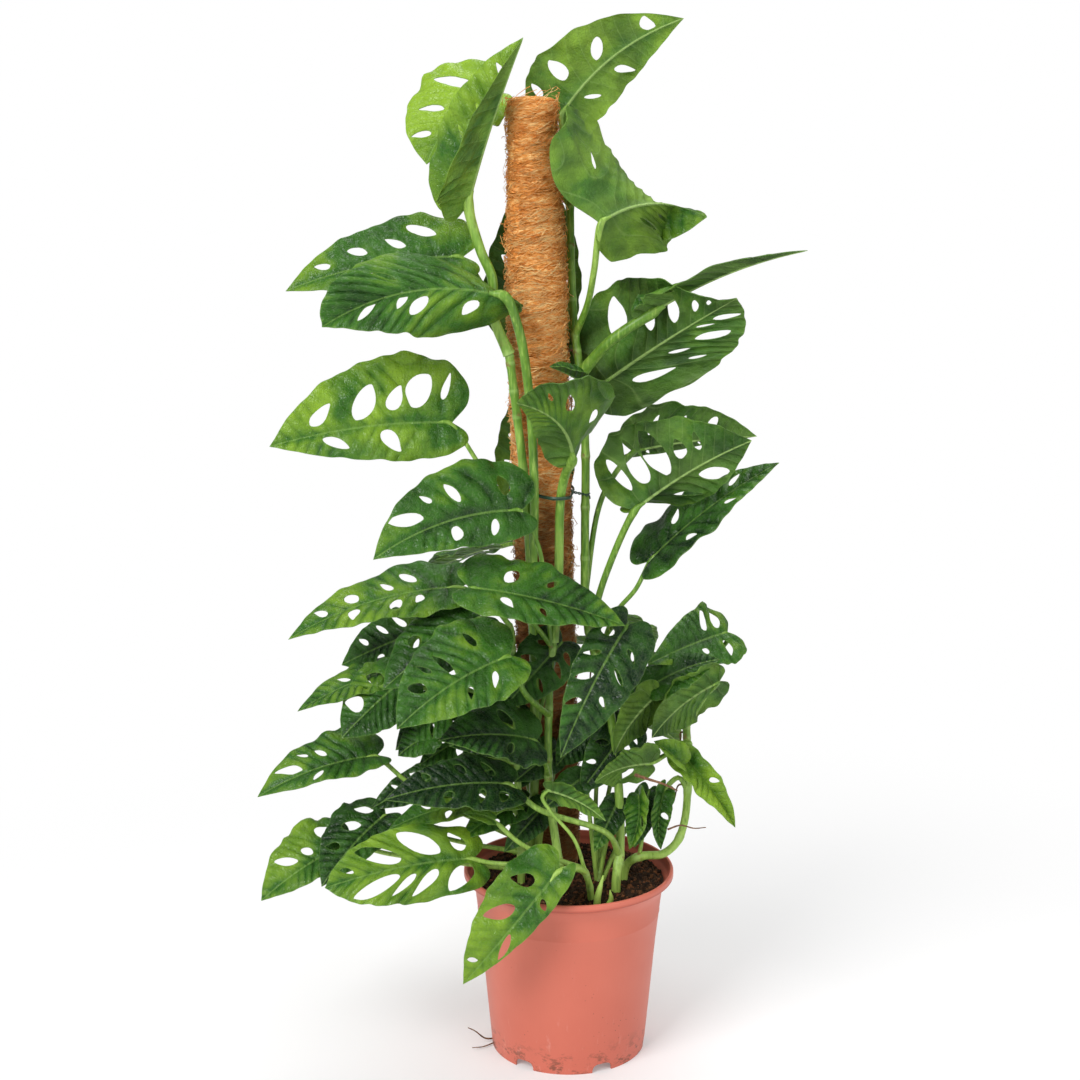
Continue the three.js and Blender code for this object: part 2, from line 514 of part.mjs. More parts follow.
function poleHole() {
  const radius = POLE_RADIUS + HOLE_CLEARANCE;
  const bottom = POLE_FOOT.z - HOLE_CLEARANCE;
  const sleeve = [[0, bottom], [radius, bottom], [radius, POT_HEIGHT], [0, POT_HEIGHT]];
  const stake = stakeProfile(HOLE_CLEARANCE, STAKE_FOOT - HOLE_CLEARANCE);
  const wide = toSolid(leanWithPole(lathe(sleeve, COIR_SIDES)));
  return wide.add(toSolid(leanWithPole(lathe(stake, STAKE_SIDES))));
}

// Leafy stems

// The curved surface of one blade: a point and its upward normal for a place along the midrib and
// across it, where 1 across is half the blade's width on the right-hand side.
function bladeSurface(leaf) {
  const base = vector(leaf.base);
  const along = vector(leaf.tip).sub(base);
  const length = along.length();
  const direction = along.clone().normalize();
  const up = vector(leaf.faces).projectOnPlane(direction).normalize();
  const right = new THREE.Vector3().crossVectors(direction, up);
  const { halves, arch = 0.04, bend = 0, twist = 0, curl = 0.12, ripple = 0.035 } = leaf;
  const { slide = [0, 0], furl = [0, 0] } = leaf;
  const fold = leaf.fold ?? [8, 8];

  const midrib = (t) => {
    const bow = 4 * t * (1 - t) * length;
    const straight = base.clone().addScaledVector(along, t);
    return straight.addScaledVector(up, arch * bow).addScaledVector(right, bend * bow);
  };
  const frameAt = (t) => {
    const slope = 4 * (1 - 2 * t) * length;
    const tangent = along.clone().addScaledVector(up, arch * slope).addScaledVector(right, bend * slope);
    tangent.normalize();
    const turn = THREE.MathUtils.degToRad(twist) * (t - 0.5);
    const normal = up.clone().projectOnPlane(tangent).normalize().applyAxisAngle(tangent, turn);
    return { normal, across: new THREE.Vector3().crossVectors(tangent, normal) };
  };
  const pointAt = (t, side) => {
    const { normal, across } = frameAt(t);
    const share = Math.abs(side);
    const half = halves[side < 0 ? 0 : 1];
    const lift = fold[side < 0 ? 0 : 1] + furl[side < 0 ? 0 : 1] * t * Math.max(t, 0);
    const angle = THREE.MathUtils.degToRad(lift);
    const wave = ripple * Math.sin(2 * Math.PI * (2.4 * t + (side < 0 ? 0.15 : 0.6)));
    const rise = Math.sin(angle) * share - curl * share * share + wave * share * share;
    return midrib(t + slide[side < 0 ? 0 : 1] * share * THREE.MathUtils.clamp(3 * t, 0, 1))
      .addScaledVector(across, Math.sign(side) * Math.cos(angle) * share * half)
      .addScaledVector(normal, rise * half);
  };
  const sideNormal = (t, side, step) => {
    const here = pointAt(t, side);
    const onward = pointAt(t + 0.01, side).sub(here);
    const outward = pointAt(t, side + step).sub(here).multiplyScalar(Math.sign(step));
    return outward.cross(onward).normalize();
  };
  const normalAt = (t, side) => {
    if (Math.abs(side) > 0.001) {
      return sideNormal(t, side, 0.01 * Math.sign(side));
    }
    return sideNormal(t, 0, 0.01).add(sideNormal(t, 0, -0.01)).normalize();
  };
  return { length, reach: { [-1]: halves[0], 1: halves[1] }, pointAt, normalAt };
}

// How wide a blade is on one side at a place along its midrib, with 1 for half its width
function marginAt(t) {
  const last = MARGIN.length - 1;
  for (let k = WIDE_FROM; k < last; k += 1) {
    const [[from, narrow], [to, wide]] = [MARGIN[k], MARGIN[k + 1]];
    if (t >= from && t <= to) {
      return 2 * blend(narrow, wide, (t - from) / (to - from));
    }
  }
  return t < MARGIN[WIDE_FROM][0] ? 2 * MARGIN[WIDE_FROM][1] : 0;
}

// One hole on each side, for a leaf that names none
function usualHoles(leaf, surface) {
  const random = randomNumbers(Math.round(Math.abs(leaf.base[0] * 7 + leaf.base[2] * 3)) + 5);
  return [[-1, 0.26], [1, 0.38]].map(([side, along]) => {
    const room = marginAt(along) * surface.reach[side];
    const long = room * (0.42 + 0.14 * random());
    const wide = Math.min(0.062 * surface.length, 0.3 * room) * (0.75 + 0.4 * random());
    return [side, along + 0.03 * random(), 0.5 + 0.06 * (random() - 0.5), long, wide];
  });
}

// The corners of a hole, kept clear of the margin and the midrib
function holeOutline([side, along, across, long, wide, slant = 58], surface) {
  const angle = THREE.MathUtils.degToRad(slant);
  const reach = surface.reach[side];
  const centreAlong = along * surface.length;
  const centreAcross = across * marginAt(along) * reach;
  return Array.from({ length: HOLE_POINTS }, (_, k) => {
    const turn = (2 * Math.PI * k) / HOLE_POINTS;
    const [u, v] = [0.5 * long * Math.cos(turn), 0.5 * wide * Math.sin(turn)];
    const t = (centreAlong + u * Math.cos(angle) - v * Math.sin(angle)) / surface.length;
    const outwards = (centreAcross + u * Math.sin(angle) + v * Math.cos(angle)) / reach;
    const [nearest, farthest] = HOLE_LIMITS.map((limit) => limit * marginAt(t));
    return [t, side * THREE.MathUtils.clamp(outwards, nearest, farthest)];
  });
}

// Swaps the shared side of two triangles wherever that makes them less long and thin
function evenedOut(triangles, flat) {
  const list = [...triangles];
  const cornerAt = (corner, a, b) => {
    const [toA, toB] = [flat(a).sub(flat(corner)), flat(b).sub(flat(corner))];
    return Math.abs(Math.atan2(toA.cross(toB), toA.dot(toB)));
  };
  let swapped = true;
  while (swapped) {
    swapped = false;
    for (let k = 0; k < list.length; k += 1) {
      for (let turn = 0; turn < 3; turn += 1) {
        const [a, b, c] = [0, 1, 2].map((step) => list[k][(turn + step) % 3]);
        const next = list.findIndex((other, j) => j !== k && other.includes(a) && other.includes(b));
        const d = next < 0 ? c : list[next].find((corner) => corner !== a && corner !== b);
        if (d !== c && cornerAt(c, a, b) + cornerAt(d, a, b) > Math.PI + 0.001) {
          list[k] = [a, d, c];
          list[next] = [d, b, c];
          swapped = true;
        }
      }
    }
  }
  return list;
}

function buildBlade(leaf) {
  const surface = bladeSurface(leaf);
  const holes = leaf.holes ?? usualHoles(leaf, surface);
  const places = [];
  const addPlace = (place) => places.push(place) - 1;
  const notch = addPlace([0, 0]);
  const tip = addPlace([1, 0]);
  const steps = leaf.furl ? FOLDED_STEPS : MIDRIB_STEPS;
  const midrib = steps.map((t) => addPlace([t, 0]));
  const faces = [];
  const rims = [];

  for (const side of [-1, 1]) {
    const margin = MARGIN.map(([t, across]) => addPlace([t, side * 2 * across]));
    const outline = [notch, ...margin, tip, ...midrib.toReversed()];
    const openings = holes
      .filter((hole) => hole[0] === side)
      .map((hole) => holeOutline(hole, surface).map(addPlace));
    const flat = (k) => {
      const [t, across] = places[k];
      return new THREE.Vector2(t * surface.length, across * surface.reach[side]);
    };
    const order = [...outline, ...openings.flat()];
    const flatOpenings = openings.map((ring) => ring.map(flat));
    const triangles = THREE.ShapeUtils.triangulateShape(outline.map(flat), flatOpenings)
      .map((triangle) => triangle.map((k) => order[k]));
    for (const [a, b, c] of evenedOut(triangles, flat)) {
      const facesDown = flat(b).sub(flat(a)).cross(flat(c).sub(flat(a))) > 0;
      faces.push(facesDown ? [a, c, b] : [a, b, c]);
    }
    rims.push(...openings.map((ring) => (side > 0 ? ring.toReversed() : ring)));
    rims.push(side > 0 ? [tip, ...margin.toReversed(), notch] : [notch, ...margin, tip]);
  }

  const thickness = ([t, across]) => (across === 0
    ? blend(MIDRIB_THICKNESS, BLADE_THICKNESS, THREE.MathUtils.clamp(t, 0, 1))
    : BLADE_THICKNESS);
  const layer = (sign) => places.flatMap((place) => surface.pointAt(...place)
    .addScaledVector(surface.normalAt(...place), (sign * thickness(place)) / 2)
    .toArray());
  const count = places.length;
  const index = faces.flatMap(([a, b, c]) => [a, b, c, count + a, count + c, count + b]);
  for (const ring of rims) {
    const closed = ring[0] !== tip && ring[0] !== notch;
    const last = closed ? ring.length : ring.length - 1;
    for (let k = 0; k < last; k += 1) {
      const [a, b] = [ring[k], ring[(k + 1) % ring.length]];
      index.push(a, b, count + b, a, count + b, count + a);
    }
  }
  const geometry = new THREE.BufferGeometry();
  geometry.setAttribute('position', new THREE.Float32BufferAttribute([...layer(1), ...layer(-1)], 3));
  geometry.setIndex(index);
  return { solid: toSolid(geometry), surface };
}

// A petiole from the middle of the stem to the midrib, which it runs a little way under
function buildPetiole(leaf, stemCurve, surface) {
  const heel = surface.pointAt(0.02, 0);
  const toe = surface.pointAt(0.09, 0).addScaledVector(surface.normalAt(0.09, 0), -0.3);
  const points = [stemCurve.getPointAt(leaf.at), ...leaf.petiole.map(vector), heel, toe];
  const curve = new THREE.CatmullRomCurve3(points, false, 'centripetal');
  return toSolid(tube(curve, leaf.thick ?? PETIOLE_RADIUS, PETIOLE_SIDES, points.length));
}

// Joins solids into one, and fills the pockets that touching leaves close off between them
function joined(parts) {
  const shells = wasm.Manifold.union(parts).decompose().filter((shell) => shell.volume() > 0);
  return wasm.Manifold.union(shells);
}

const stemSteps = (stem) => Math.round(1.35 * stem.route.length);

function buildLeafyStem(stem) {
  const curve = curveThrough(stem.route);
  const parts = [toSolid(tube(curve, stem.radius, STEM_SIDES, stemSteps(stem)))];
  for (const leaf of stem.leaves) {
    const { solid, surface } = buildBlade(leaf);
    parts.push(solid, buildPetiole(leaf, curve, surface));
  }
  return toGeometry(joined(parts));
}

// The hole a stem stands in: the same stem, a little wider and a little deeper
function stemHole(stem) {
  const [foot, ...rest] = stem.route;
  const deeper = [foot[0], foot[1], foot[2] - HOLE_CLEARANCE];
  const curve = curveThrough([deeper, ...rest]);
  return toSolid(tube(curve, stem.radius + HOLE_CLEARANCE, STEM_SIDES, stemSteps(stem)));
}

// Tie: a flat strip round the pole and the stem in front of it, with its two ends twisted together

function buildTie() {
  const centre = poleCentre(TIE_HEIGHT);
  const reach = POLE_RADIUS + TIE_THICKNESS;
  const around = (angle, extra, rise) => {
    const turn = THREE.MathUtils.degToRad(angle);
    const radius = reach + extra;
    return [centre.x + radius * Math.cos(turn), centre.y + radius * Math.sin(turn), TIE_HEIGHT + rise];
  };
  const loop = [
    around(-28, 2, 0), around(0, 0.6, 0), around(35, 0.6, 1), around(75, 0.6, 1), around(115, 0.6, 2),
    around(155, 0.6, 2), around(190, 0.6, 2), around(225, 0.6, 1), around(250, 1, 1), around(267, 7, 0),
    around(283, 21, 0), around(299, 21, 0), around(315, 9, 0), around(331, 4, 0),
  ];
  const curve = curveThrough(loop);
  const section = new THREE.Shape([
    new THREE.Vector2(-TIE_THICKNESS / 2, -TIE_THICKNESS / 2),
    new THREE.Vector2(TIE_THICKNESS / 2, -TIE_THICKNESS / 2),
    new THREE.Vector2(TIE_THICKNESS / 2, TIE_THICKNESS / 2),
    new THREE.Vector2(-TIE_THICKNESS / 2, TIE_THICKNESS / 2),
  ]);
  const strip = new THREE.ExtrudeGeometry(section, { steps: 28, bevelEnabled: false, extrudePath: curve });
  return strip;
}

function buildPlant() {
  const plant = new THREE.Group();
  const addMesh = (name, geometry, finish) => {
    const material = new THREE.MeshStandardMaterial(finish);
    const mesh = new THREE.Mesh(geometry, material);
    mesh.name = name;
    plant.add(mesh);
  };
  addMesh('pot', buildPot(), FINISH.pot);
  addMesh('soil', buildSoil([poleHole(), ...LEAFY_STEMS.map(stemHole)]), FINISH.soil);
  addMesh('pole_stake', buildStake(), FINISH.stake);
  addMesh('pole_coir', buildCoir(), FINISH.coir);
  addMesh('tie', buildTie(), FINISH.tie);
  for (const stem of LEAFY_STEMS) {
    addMesh(stem.name, buildLeafyStem(stem), FINISH.leaf);
  }
  return plant;
}

export default buildPlant();
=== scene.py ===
"""Dresses a potted monstera obliqua on a coir pole: fine leaves, stems, coir, soil and pot.

Sizes in the leaf table and in the shape functions are millimetres, as on the model's drawing.
MM turns them into metres where a mesh is made. The front of the plant looks along -Y.
"""

import math

import bpy
import numpy as np
from bpy.props import FloatProperty, FloatVectorProperty, IntProperty, PointerProperty
from mathutils.geometry import delaunay_2d_cdt
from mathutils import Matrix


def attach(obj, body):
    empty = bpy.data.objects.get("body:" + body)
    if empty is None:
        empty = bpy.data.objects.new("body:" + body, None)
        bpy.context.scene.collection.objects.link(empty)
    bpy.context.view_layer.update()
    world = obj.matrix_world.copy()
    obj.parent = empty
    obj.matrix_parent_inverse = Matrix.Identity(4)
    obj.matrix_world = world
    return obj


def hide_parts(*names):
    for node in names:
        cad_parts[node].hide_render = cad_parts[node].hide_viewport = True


bl_info = {
    "name": "Potted Monstera Obliqua",
    "version": (1, 0, 0),
    "blender": (4, 5, 0),
    "location": "View3D > Sidebar > Monstera",
    "description": "Builds the fine leaves, stems, coir pole, soil and pot of a potted monstera obliqua",
    "category": "Object",
}

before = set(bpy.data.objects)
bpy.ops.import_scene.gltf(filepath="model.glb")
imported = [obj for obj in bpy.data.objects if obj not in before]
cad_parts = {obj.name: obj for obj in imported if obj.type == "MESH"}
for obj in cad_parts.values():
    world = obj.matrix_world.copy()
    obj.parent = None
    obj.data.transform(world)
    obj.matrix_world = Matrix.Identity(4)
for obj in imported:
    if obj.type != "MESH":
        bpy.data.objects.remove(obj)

MM = 0.001

# Pot
RIM_RADIUS = 95
WALL = 1.6
FOOT_HEIGHT = 6
BASE_DISC_RADIUS = 38
ARCH_COUNT = 6
ARCH_WIDTH = 19
ARCH_HEIGHT = 8
FIRST_ARCH_ANGLE = -65
ARCH_DEPTHS = (65.0, 79.0)
DRAIN_RADIUS = 4.5
DRAIN_CIRCLE = 55
DRAIN_DEPTHS = (3, 10)
POT_SHARP_ANGLE = 38
POT_OUTSIDE = (
    (0, 0), (36.5, 0), (38, 0.6), (39.6, 5.4), (40.6, 6), (67.6, 6), (68.4, 5.2), (68.4, 0.3), (68.7, 0),
    (69.7, 0), (70, 0.3), (74.8, 52), (79.6, 105), (82.5, 130), (82.9, 131), (82.9, 131.6), (82.7, 132.2),
    (84.7, 149), (85.6, 152.5), (87.5, 156), (89.6, 159.6), (91.5, 162.5), (92.6, 163.2), (94.2, 163.3),
    (95, 164), (95.1, 166), (95, 168.4), (94.6, 169.4), (93.8, 170), (92.9, 170), (92.2, 169.5),
)
POT_INSIDE = ((68.4, 7.6), (78, 105), (83, 149), (86, 156), (90, 161.5), (91.4, 165.5))

# Soil
SOIL_LEVEL = 157
SOIL_MOUND = 7
SOIL_EDGE = 86.1
SOIL_GAP = 0.4  # between the soil and the pot's wall

# Pole
POLE_FOOT = (-14, 39, 100)
POLE_TOP = (-33, 25, 853)
POLE_RADIUS = 26.5
POLE_TOP_RADIUS = 23
POLE_NARROWS_AT = 760
POLE_NARROWING = 40
POLE_LEAN = (-0.025, -0.019)  # to +X and +Y for each millimetre up
COIR_DEPTH = 1.5
TOP_COIR_DEPTH = 1.2
WINDING_LEAN = 0.2

# Tie
TIE_HEIGHT = 512
TIE_THICKNESS = 1.4
TWIST_LENGTH = 15
TWIST_TURNS = 2.25
# The strip's way round: an angle, how far off the pole, and how far up
TIE_LOOP = (
    (-28, 2, 0), (0, 0.6, 0), (35, 0.6, 1), (75, 0.6, 1), (115, 0.6, 2), (155, 0.6, 2), (190, 0.6, 2),
    (225, 0.6, 1), (250, 1, 1), (267, 7, 0), (283, 21, 0), (299, 21, 0), (315, 9, 0), (331, 4, 0),
)
# The strip's cross-section, outwards and up, with the rib on its outer face
TIE_SECTION = (
    (-0.35, -1.3), (0.15, -1.5), (0.35, -1.3), (0.35, -0.35), (0.7, 0), (0.35, 0.35), (0.35, 1.3),
    (0.15, 1.5), (-0.35, 1.3), (-0.35, 0),
)

# Camera, as the photograph was taken, in metres and degrees
CAMERA_PLACE = (-0.026, -1.631, 0.810)
CAMERA_DOWN = 11.7
SENSOR_WIDTH = 36

# Twigs, roots and sprouts: the points that each passes, and its radius
LITTER = (
    (((56, -66, 279), (66, -71, 277), (80, -76, 274), (92, -76, 268)), 1.5),
    (((86, -52, 224), (97, -58, 230), (108, -60, 228), (118, -66, 231)), 0.9),
    (((-22, -70, 163), (-34, -78, 167), (-48, -76, 165), (-60, -64, 164)), 1.1),
    (((30, -80, 163), (42, -84, 168), (52, -78, 166)), 0.9),
    (((-60, -6, 7), (-67, -6, 4), (-76, -9, 5), (-86, -14, 15), (-92, -16, 19)), 1.0),
    (((-62, -14, 6), (-70, -14, 2.5), (-78, -20, 2.2), (-88, -24, 3.2)), 0.8),
)
SPROUTS = (
    (((24, -68, 158), (24, -72, 168), (26, -74, 178), (29, -74, 190)), 3.0),
    (((33, -66, 158), (36, -70, 166), (35, -73, 176)), 2.4),
)

# One side of a blade's margin, from the notch at the petiole out to the tip: how far along the
# midrib, and how far across as a share of the blade's whole width.
MARGIN = (
    (0, 0), (-0.08, 0.14), (-0.07, 0.3), (0.05, 0.45), (0.25, 0.5), (0.45, 0.46), (0.65, 0.355),
    (0.82, 0.215), (0.92, 0.1), (0.97, 0.035), (1, 0),
)
WIDE_FROM = 0.05
HOLE_LIMITS = (0.12, 0.88)
BESIDE_MIDRIB = (0.85, 1.9)
CHART_STEP = 40
PETIOLE_RADIUS = 2.2
VEIN_SPACING = 0.088  # share of a blade's length
VEIN_SPACING_LIMITS = (6, 13)
# How far a blade arches and its margin ripples, as shares, and how many degrees it twists. The
# crowded leaves whose base is below this height droop and twist more.
LOW_LEAVES = 345
LOW_DROOP = (0.085, 0.085, 17)
USUAL_DROOP = (0.045, 0.06, 6)

# Stems
NODE_SPACING = 46
ROOT_CHANCE = 0.55


def placed(at, petiole, base, tip, faces, halves, shade, holes=None, **shape):
    """One leaf of the table below.

    It leaves its stem at a share of the stem's route and passes the points of its petiole. The
    base and tip are those of its midrib, its upper side faces one way, and its left and right
    halves reach so far. Shade runs from dark (-1) to bright yellow-green (1): partly each leaf's
    own green, partly painted light and shade, darker for leaves low in the crowded clump and
    brighter high up. Holes are side, along, across, length, width and slant. A leaf without them
    gets the usual ones. The rest is left and right in pairs: each half rises by fold, curls on
    towards the tip by furl and at the base by tuck, in degrees, and slides along the midrib. Thick
    is the petiole's radius, bend how far the midrib bows sideways, and ripple how far the margin
    waves.
    """
    return {"at": at, "petiole": petiole, "base": base, "tip": tip, "faces": faces, "halves": halves,
            "shade": shade, "holes": holes, **shape}


# The leafy stems. A route runs up the middle of a stem.
LEAFY_STEMS = [
    {"name": "stem_left_front", "radius": 4.6,
     "route": ((-37, 4, 116), (-35, 2, 170), (-31, 2, 260), (-31, 0, 350), (-34, -2, 440), (-40, -3, 530),
               (-48, -2, 600), (-53, 0, 640)),
     "leaves": [
         placed(0.99, ((-66, 3, 668), (-67, 4, 700), (-77, 6, 724)), (-88, 10, 760), (-40, -15, 898),
                (-0.35, -1, 0), (44, 37), 0.85, ((-1, 0.78, 0.35, 12, 5, 60), (-1, 0.53, 0.4, 9, 4, 60),
                (-1, 0.36, 0.55, 12, 4, 55)), thick=4.8, fold=(5, 116), slide=(0.06, -0.3)),
         placed(0.93, ((-60, 10, 655), (-76, 18, 694)), (-92, 22, 717), (-245, 14, 688), (0, -0.8, 0.6),
                (30, 44), 0.35, ((1, 0.22, 0.62, 25, 8, 25), (1, 0.36, 0.4, 18, 6, 30),
                (1, 0.57, 0.45, 17, 7, 25), (1, 0.77, 0.45, 14, 5, 20), (-1, 0.3, 0.5, 18, 8, 50),
                (-1, 0.55, 0.5, 14, 7, 50)), bend=0.03),
         placed(0.58, ((-31, -12, 520), (-35, -22, 600), (-44, -32, 660)), (-52, -38, 687),
                (-206, -60, 664), (0, -0.85, 0.5), (37, 42), -0.05, ((-1, 0.16, 0.4, 12, 10, 60),
                (-1, 0.43, 0.38, 14, 13, 60), (-1, 0.54, 0.24, 11, 7, 70), (-1, 0.74, 0.3, 16, 7, 40),
                (1, 0.5, 0.5, 12, 5, 60)), thick=4.4, bend=0.1, fold=(10, 24), slide=(0.14, 0.3),
                tuck=(-86, -92)),
         placed(0.7, ((-75, -6, 535),), (-102, 0, 576), (-258, -20, 558), (0, -0.95, 0.35), (33, 62), 0.55,
                ((1, 0.03, 0.55, 22, 5, 105), (1, 0.17, 0.48, 31, 17, 120), (1, 0.3, 0.36, 22, 10, 120),
                (1, 0.46, 0.38, 29, 16, 120), (1, 0.7, 0.4, 21, 10, 140), (-1, 0.34, 0.45, 22, 11, 130),
                (-1, 0.64, 0.45, 21, 8, 150)), bend=0.03)
     ]},
    {"name": "stem_behind", "radius": 4.2,
     "route": ((41, -38, 118), (42, -40, 176), (45, -30, 195), (44, -20, 251), (35, 0, 325), (16, 16, 396),
               (14, 20, 463), (14, 20, 546), (11, 22, 600), (4, 37, 655), (1, 44, 715), (0, 46, 760),
               (-3, 54, 800)),
     "leaves": [
         placed(0.99, ((-6, 60, 815),), (-9, 62, 835), (99, 75, 919), (0.1, 0.9, 0.35), (32, 47), 1.05,
                ((1, 0.81, 0.4, 13, 9, 60), (1, 0.5, 0.36, 23, 7, 40), (1, 0.27, 0.55, 24, 11, 60),
                (1, 0.06, 0.7, 16, 6, 70), (-1, 0.52, 0.55, 17, 6, 38), (-1, 0.24, 0.43, 16, 3, 40)),
                bend=0.08, slide=(0, -0.16)),
         placed(0.94, ((-30, 66, 800), (-54, 68, 842)), (-63, 62, 856), (-123, 25, 795), (-0.5, -0.8, 0.2),
                (34, 58), 1.5, ((1, 0.22, 0.55, 32, 9, 60), (1, 0.5, 0.5, 20, 6, 60),
                (1, 0.75, 0.5, 16, 5, 60)), bend=0.1),
         placed(0.78, ((15, 20, 676), (20, 0, 706)), (24, -14, 747), (119, 40, 750), (-0.45, 0.88, 0.12),
                (46, 98), 0.8, ((-1, 0.35, 0.45, 18, 4, 60), (-1, 0.55, 0.5, 14, 4, 60),
                (1, 0.2, 0.5, 14, 3, 70)), thick=3, bend=0.12, fold=(10, 5), furl=(110, 200),
                slide=(0.35, -0.15), tuck=(0, 15)),
         placed(0.76, ((2, 52, 636), (-14, 68, 640)), (-35, 76, 649), (-26, 74, 794), (0, 1, 0), (44, 44),
                0),
         placed(0.73, ((34, 8, 645),), (68, 0, 670), (198, -25, 725), (0, 0.3, 0.95), (27, 24), -0.1,
                ((1, 0.3, 0.6, 8, 6, 60), (-1, 0.4, 0.5, 14, 6, 60)), thick=5, bend=0.02, fold=(34, 22),
                slide=(-0.3, -0.3), tuck=(45, 0), ripple=0.12),
         placed(0.71, ((18, 32, 598),), (26, 35, 603), (140, -20, 685), (0.1, 0.95, 0.3), (45, 70), -0.4,
                ((1, 0.26, 0.6, 30, 15, 75), (1, 0.45, 0.4, 20, 11, 70), (1, 0.62, 0.4, 22, 10, 65),
                (1, 0.76, 0.4, 12, 6, 60), (1, 0.85, 0.5, 8, 4, 60), (-1, 0.8, 0.5, 14, 7, 30),
                (-1, 0.6, 0.55, 21, 9, 26), (-1, 0.68, 0.25, 10, 3, 30), (-1, 0.4, 0.35, 12, 4, 36),
                (-1, 0.36, 0.66, 10, 3, 36), (-1, 0.2, 0.45, 21, 8, 30)), fold=(8, 35), furl=(0, -90),
                slide=(0.33, 0.1)),
         placed(0.69, ((16, 6, 600),), (17, -6, 607), (-18, -30, 628), (0, -0.3, 0.9), (18, 18), -0.2, (),
                fold=(40, 30)),
         placed(0.4, ((32, 4, 440),), (55, -15, 501), (152, -50, 568), (0.1, 0.9, 0.3), (38, 66), -0.1,
                ((1, 0.08, 0.56, 34, 8, 88), (1, 0.22, 0.5, 42, 12, 84), (1, 0.37, 0.52, 46, 17, 82),
                (1, 0.53, 0.4, 18, 9, 80), (1, 0.66, 0.45, 16, 6, 70), (-1, 0.63, 0.5, 25, 12, 25),
                (-1, 0.36, 0.6, 22, 5, 32)), thick=3.3, bend=0.02, tuck=(75, 15)),
         placed(0.45, ((30, 36, 505),), (57, 55, 542), (169, 60, 555), (0, 0.9, 0.45), (8, 44), -0.3,
                thick=2.8),
         placed(0.36, ((40, 0, 405), (58, -8, 430)), (69, -10, 455), (182, 0, 541), (-0.35, -0.3, 0.85),
                (44, 34), -0.5, ((-1, 0.72, 0.5, 15, 6, 30), (1, 0.62, 0.5, 13, 5, 35),
                (1, 0.3, 0.6, 12, 6, 40), (-1, 0.3, 0.5, 16, 7, 55))),
         placed(0.37, ((38, -16, 398),), (49, -55, 410), (-9, -115, 310), (0.2, -0.9, 0.45), (34, 25), -1,
                ((1, 0.12, 0.5, 11, 8, 60), (1, 0.46, 0.45, 16, 5, 50), (1, 0.64, 0.5, 13, 5, 50),
                (-1, 0.36, 0.5, 14, 4, 50), (-1, 0.56, 0.5, 10, 4, 50), (1, 0.3, 0.55, 14, 4, 55),
                (-1, 0.18, 0.5, 12, 4, 55)), bend=0.03),
         placed(0.11, ((32, -52, 221), (-28, -60, 246)), (-51, -54, 266), (-158, -100, 268), (0, -0.6, 0.8),
                (30, 30), -0.8, thick=2.8)
     ]},
    {"name": "stem_front", "radius": 4,
     "route": ((-8, -46, 116), (-8, -42, 176), (-18, -25, 252), (-17, -9, 350), (-14, -7, 385)),
     "leaves": [
         placed(0.99, ((-10, -8, 431), (-8, -9, 512), (-4, -18, 534)), (2, -36, 549), (-45, -104, 607),
                (0.1, 0.85, 0.5), (60, 26), 0.35, ((-1, 0.5, 0.4, 16, 8, 60), (-1, 0.2, 0.5, 12, 7, 60),
                (-1, 0.7, 0.45, 8, 4, 50)), thick=4.4, bend=-0.12, slide=(0.42, 0), tuck=(55, 0)),
         placed(0.95, ((-22, -24, 440), (-28, -32, 475)), (-41, -38, 506), (-165, -85, 473),
                (0, -0.9, 0.45), (29, 49), -0.15, ((1, 0.72, 0.5, 26, 10, 25), (1, 0.1, 0.5, 18, 8, 80),
                (1, 0.4, 0.5, 18, 7, 70), (-1, 0.46, 0.5, 13, 9, 60), (-1, 0.2, 0.5, 15, 6, 70),
                (1, 0.56, 0.6, 11, 4, 50)), bend=0.07),
         placed(0.97, ((-38, -30, 410), (-78, -60, 436)), (-86, -74, 447), (46, -72, 413), (0, -0.5, 0.85),
                (44, 32), -0.1, ((-1, 0.25, 0.45, 16, 11, 60), (1, 0.25, 0.4, 14, 8, 50),
                (-1, 0.5, 0.5, 12, 5, 50), (1, 0.48, 0.5, 10, 4, 50))),
         placed(0.75, ((-24, -36, 328), (-40, -60, 352)), (-51, -72, 387), (-145, -118, 336),
                (-0.1, -0.75, 0.65), (36, 52), 0.12, ((1, 0.45, 0.4, 24, 6, 80), (-1, 0.2, 0.45, 14, 5, 60),
                (1, 0.7, 0.45, 16, 8, 50), (-1, 0.42, 0.5, 12, 5, 60), (1, 0.2, 0.55, 16, 5, 75),
                (1, 0.58, 0.6, 12, 4, 60)), thick=2.8, bend=0.04),
         placed(0.55, ((-22, -42, 282),), (-29, -54, 306), (-112, -92, 318), (0, -0.55, 0.8), (32, 38),
                -0.9, ((1, 0.3, 0.45, 20, 9, 60), (-1, 0.35, 0.5, 12, 6, 55)))
     ]},
    {"name": "stem_left", "radius": 3.6,
     "route": ((-44, -24, 118), (-43, -22, 176), (-46, -18, 260), (-48, -14, 340), (-52, -12, 400)),
     "leaves": [
         placed(0.99, ((-75, -4, 422),), (-95, 0, 430), (-245, -30, 390), (0, -0.45, 0.9), (32, 36), 0.3,
                ((1, 0.28, 0.5, 16, 7, 45), (1, 0.4, 0.35, 12, 6, 45), (-1, 0.38, 0.45, 13, 10, 45),
                (-1, 0.24, 0.35, 10, 7, 50), (-1, 0.62, 0.4, 13, 9, 70), (1, 0.6, 0.4, 14, 9, 50),
                (1, 0.78, 0.45, 12, 6, 40)), bend=0.05),
         placed(0.95, ((-62, -16, 400),), (-78, -20, 408), (-162, -50, 350), (-0.2, -0.6, 0.75), (38, 42),
                -0.6, ((1, 0.55, 0.5, 13, 10, 60), (-1, 0.4, 0.5, 14, 7, 55))),
         placed(0.85, ((-90, 14, 372),), (-134, 34, 381), (-205, 24, 352), (0, -0.7, 0.6), (30, 30), -0.1),
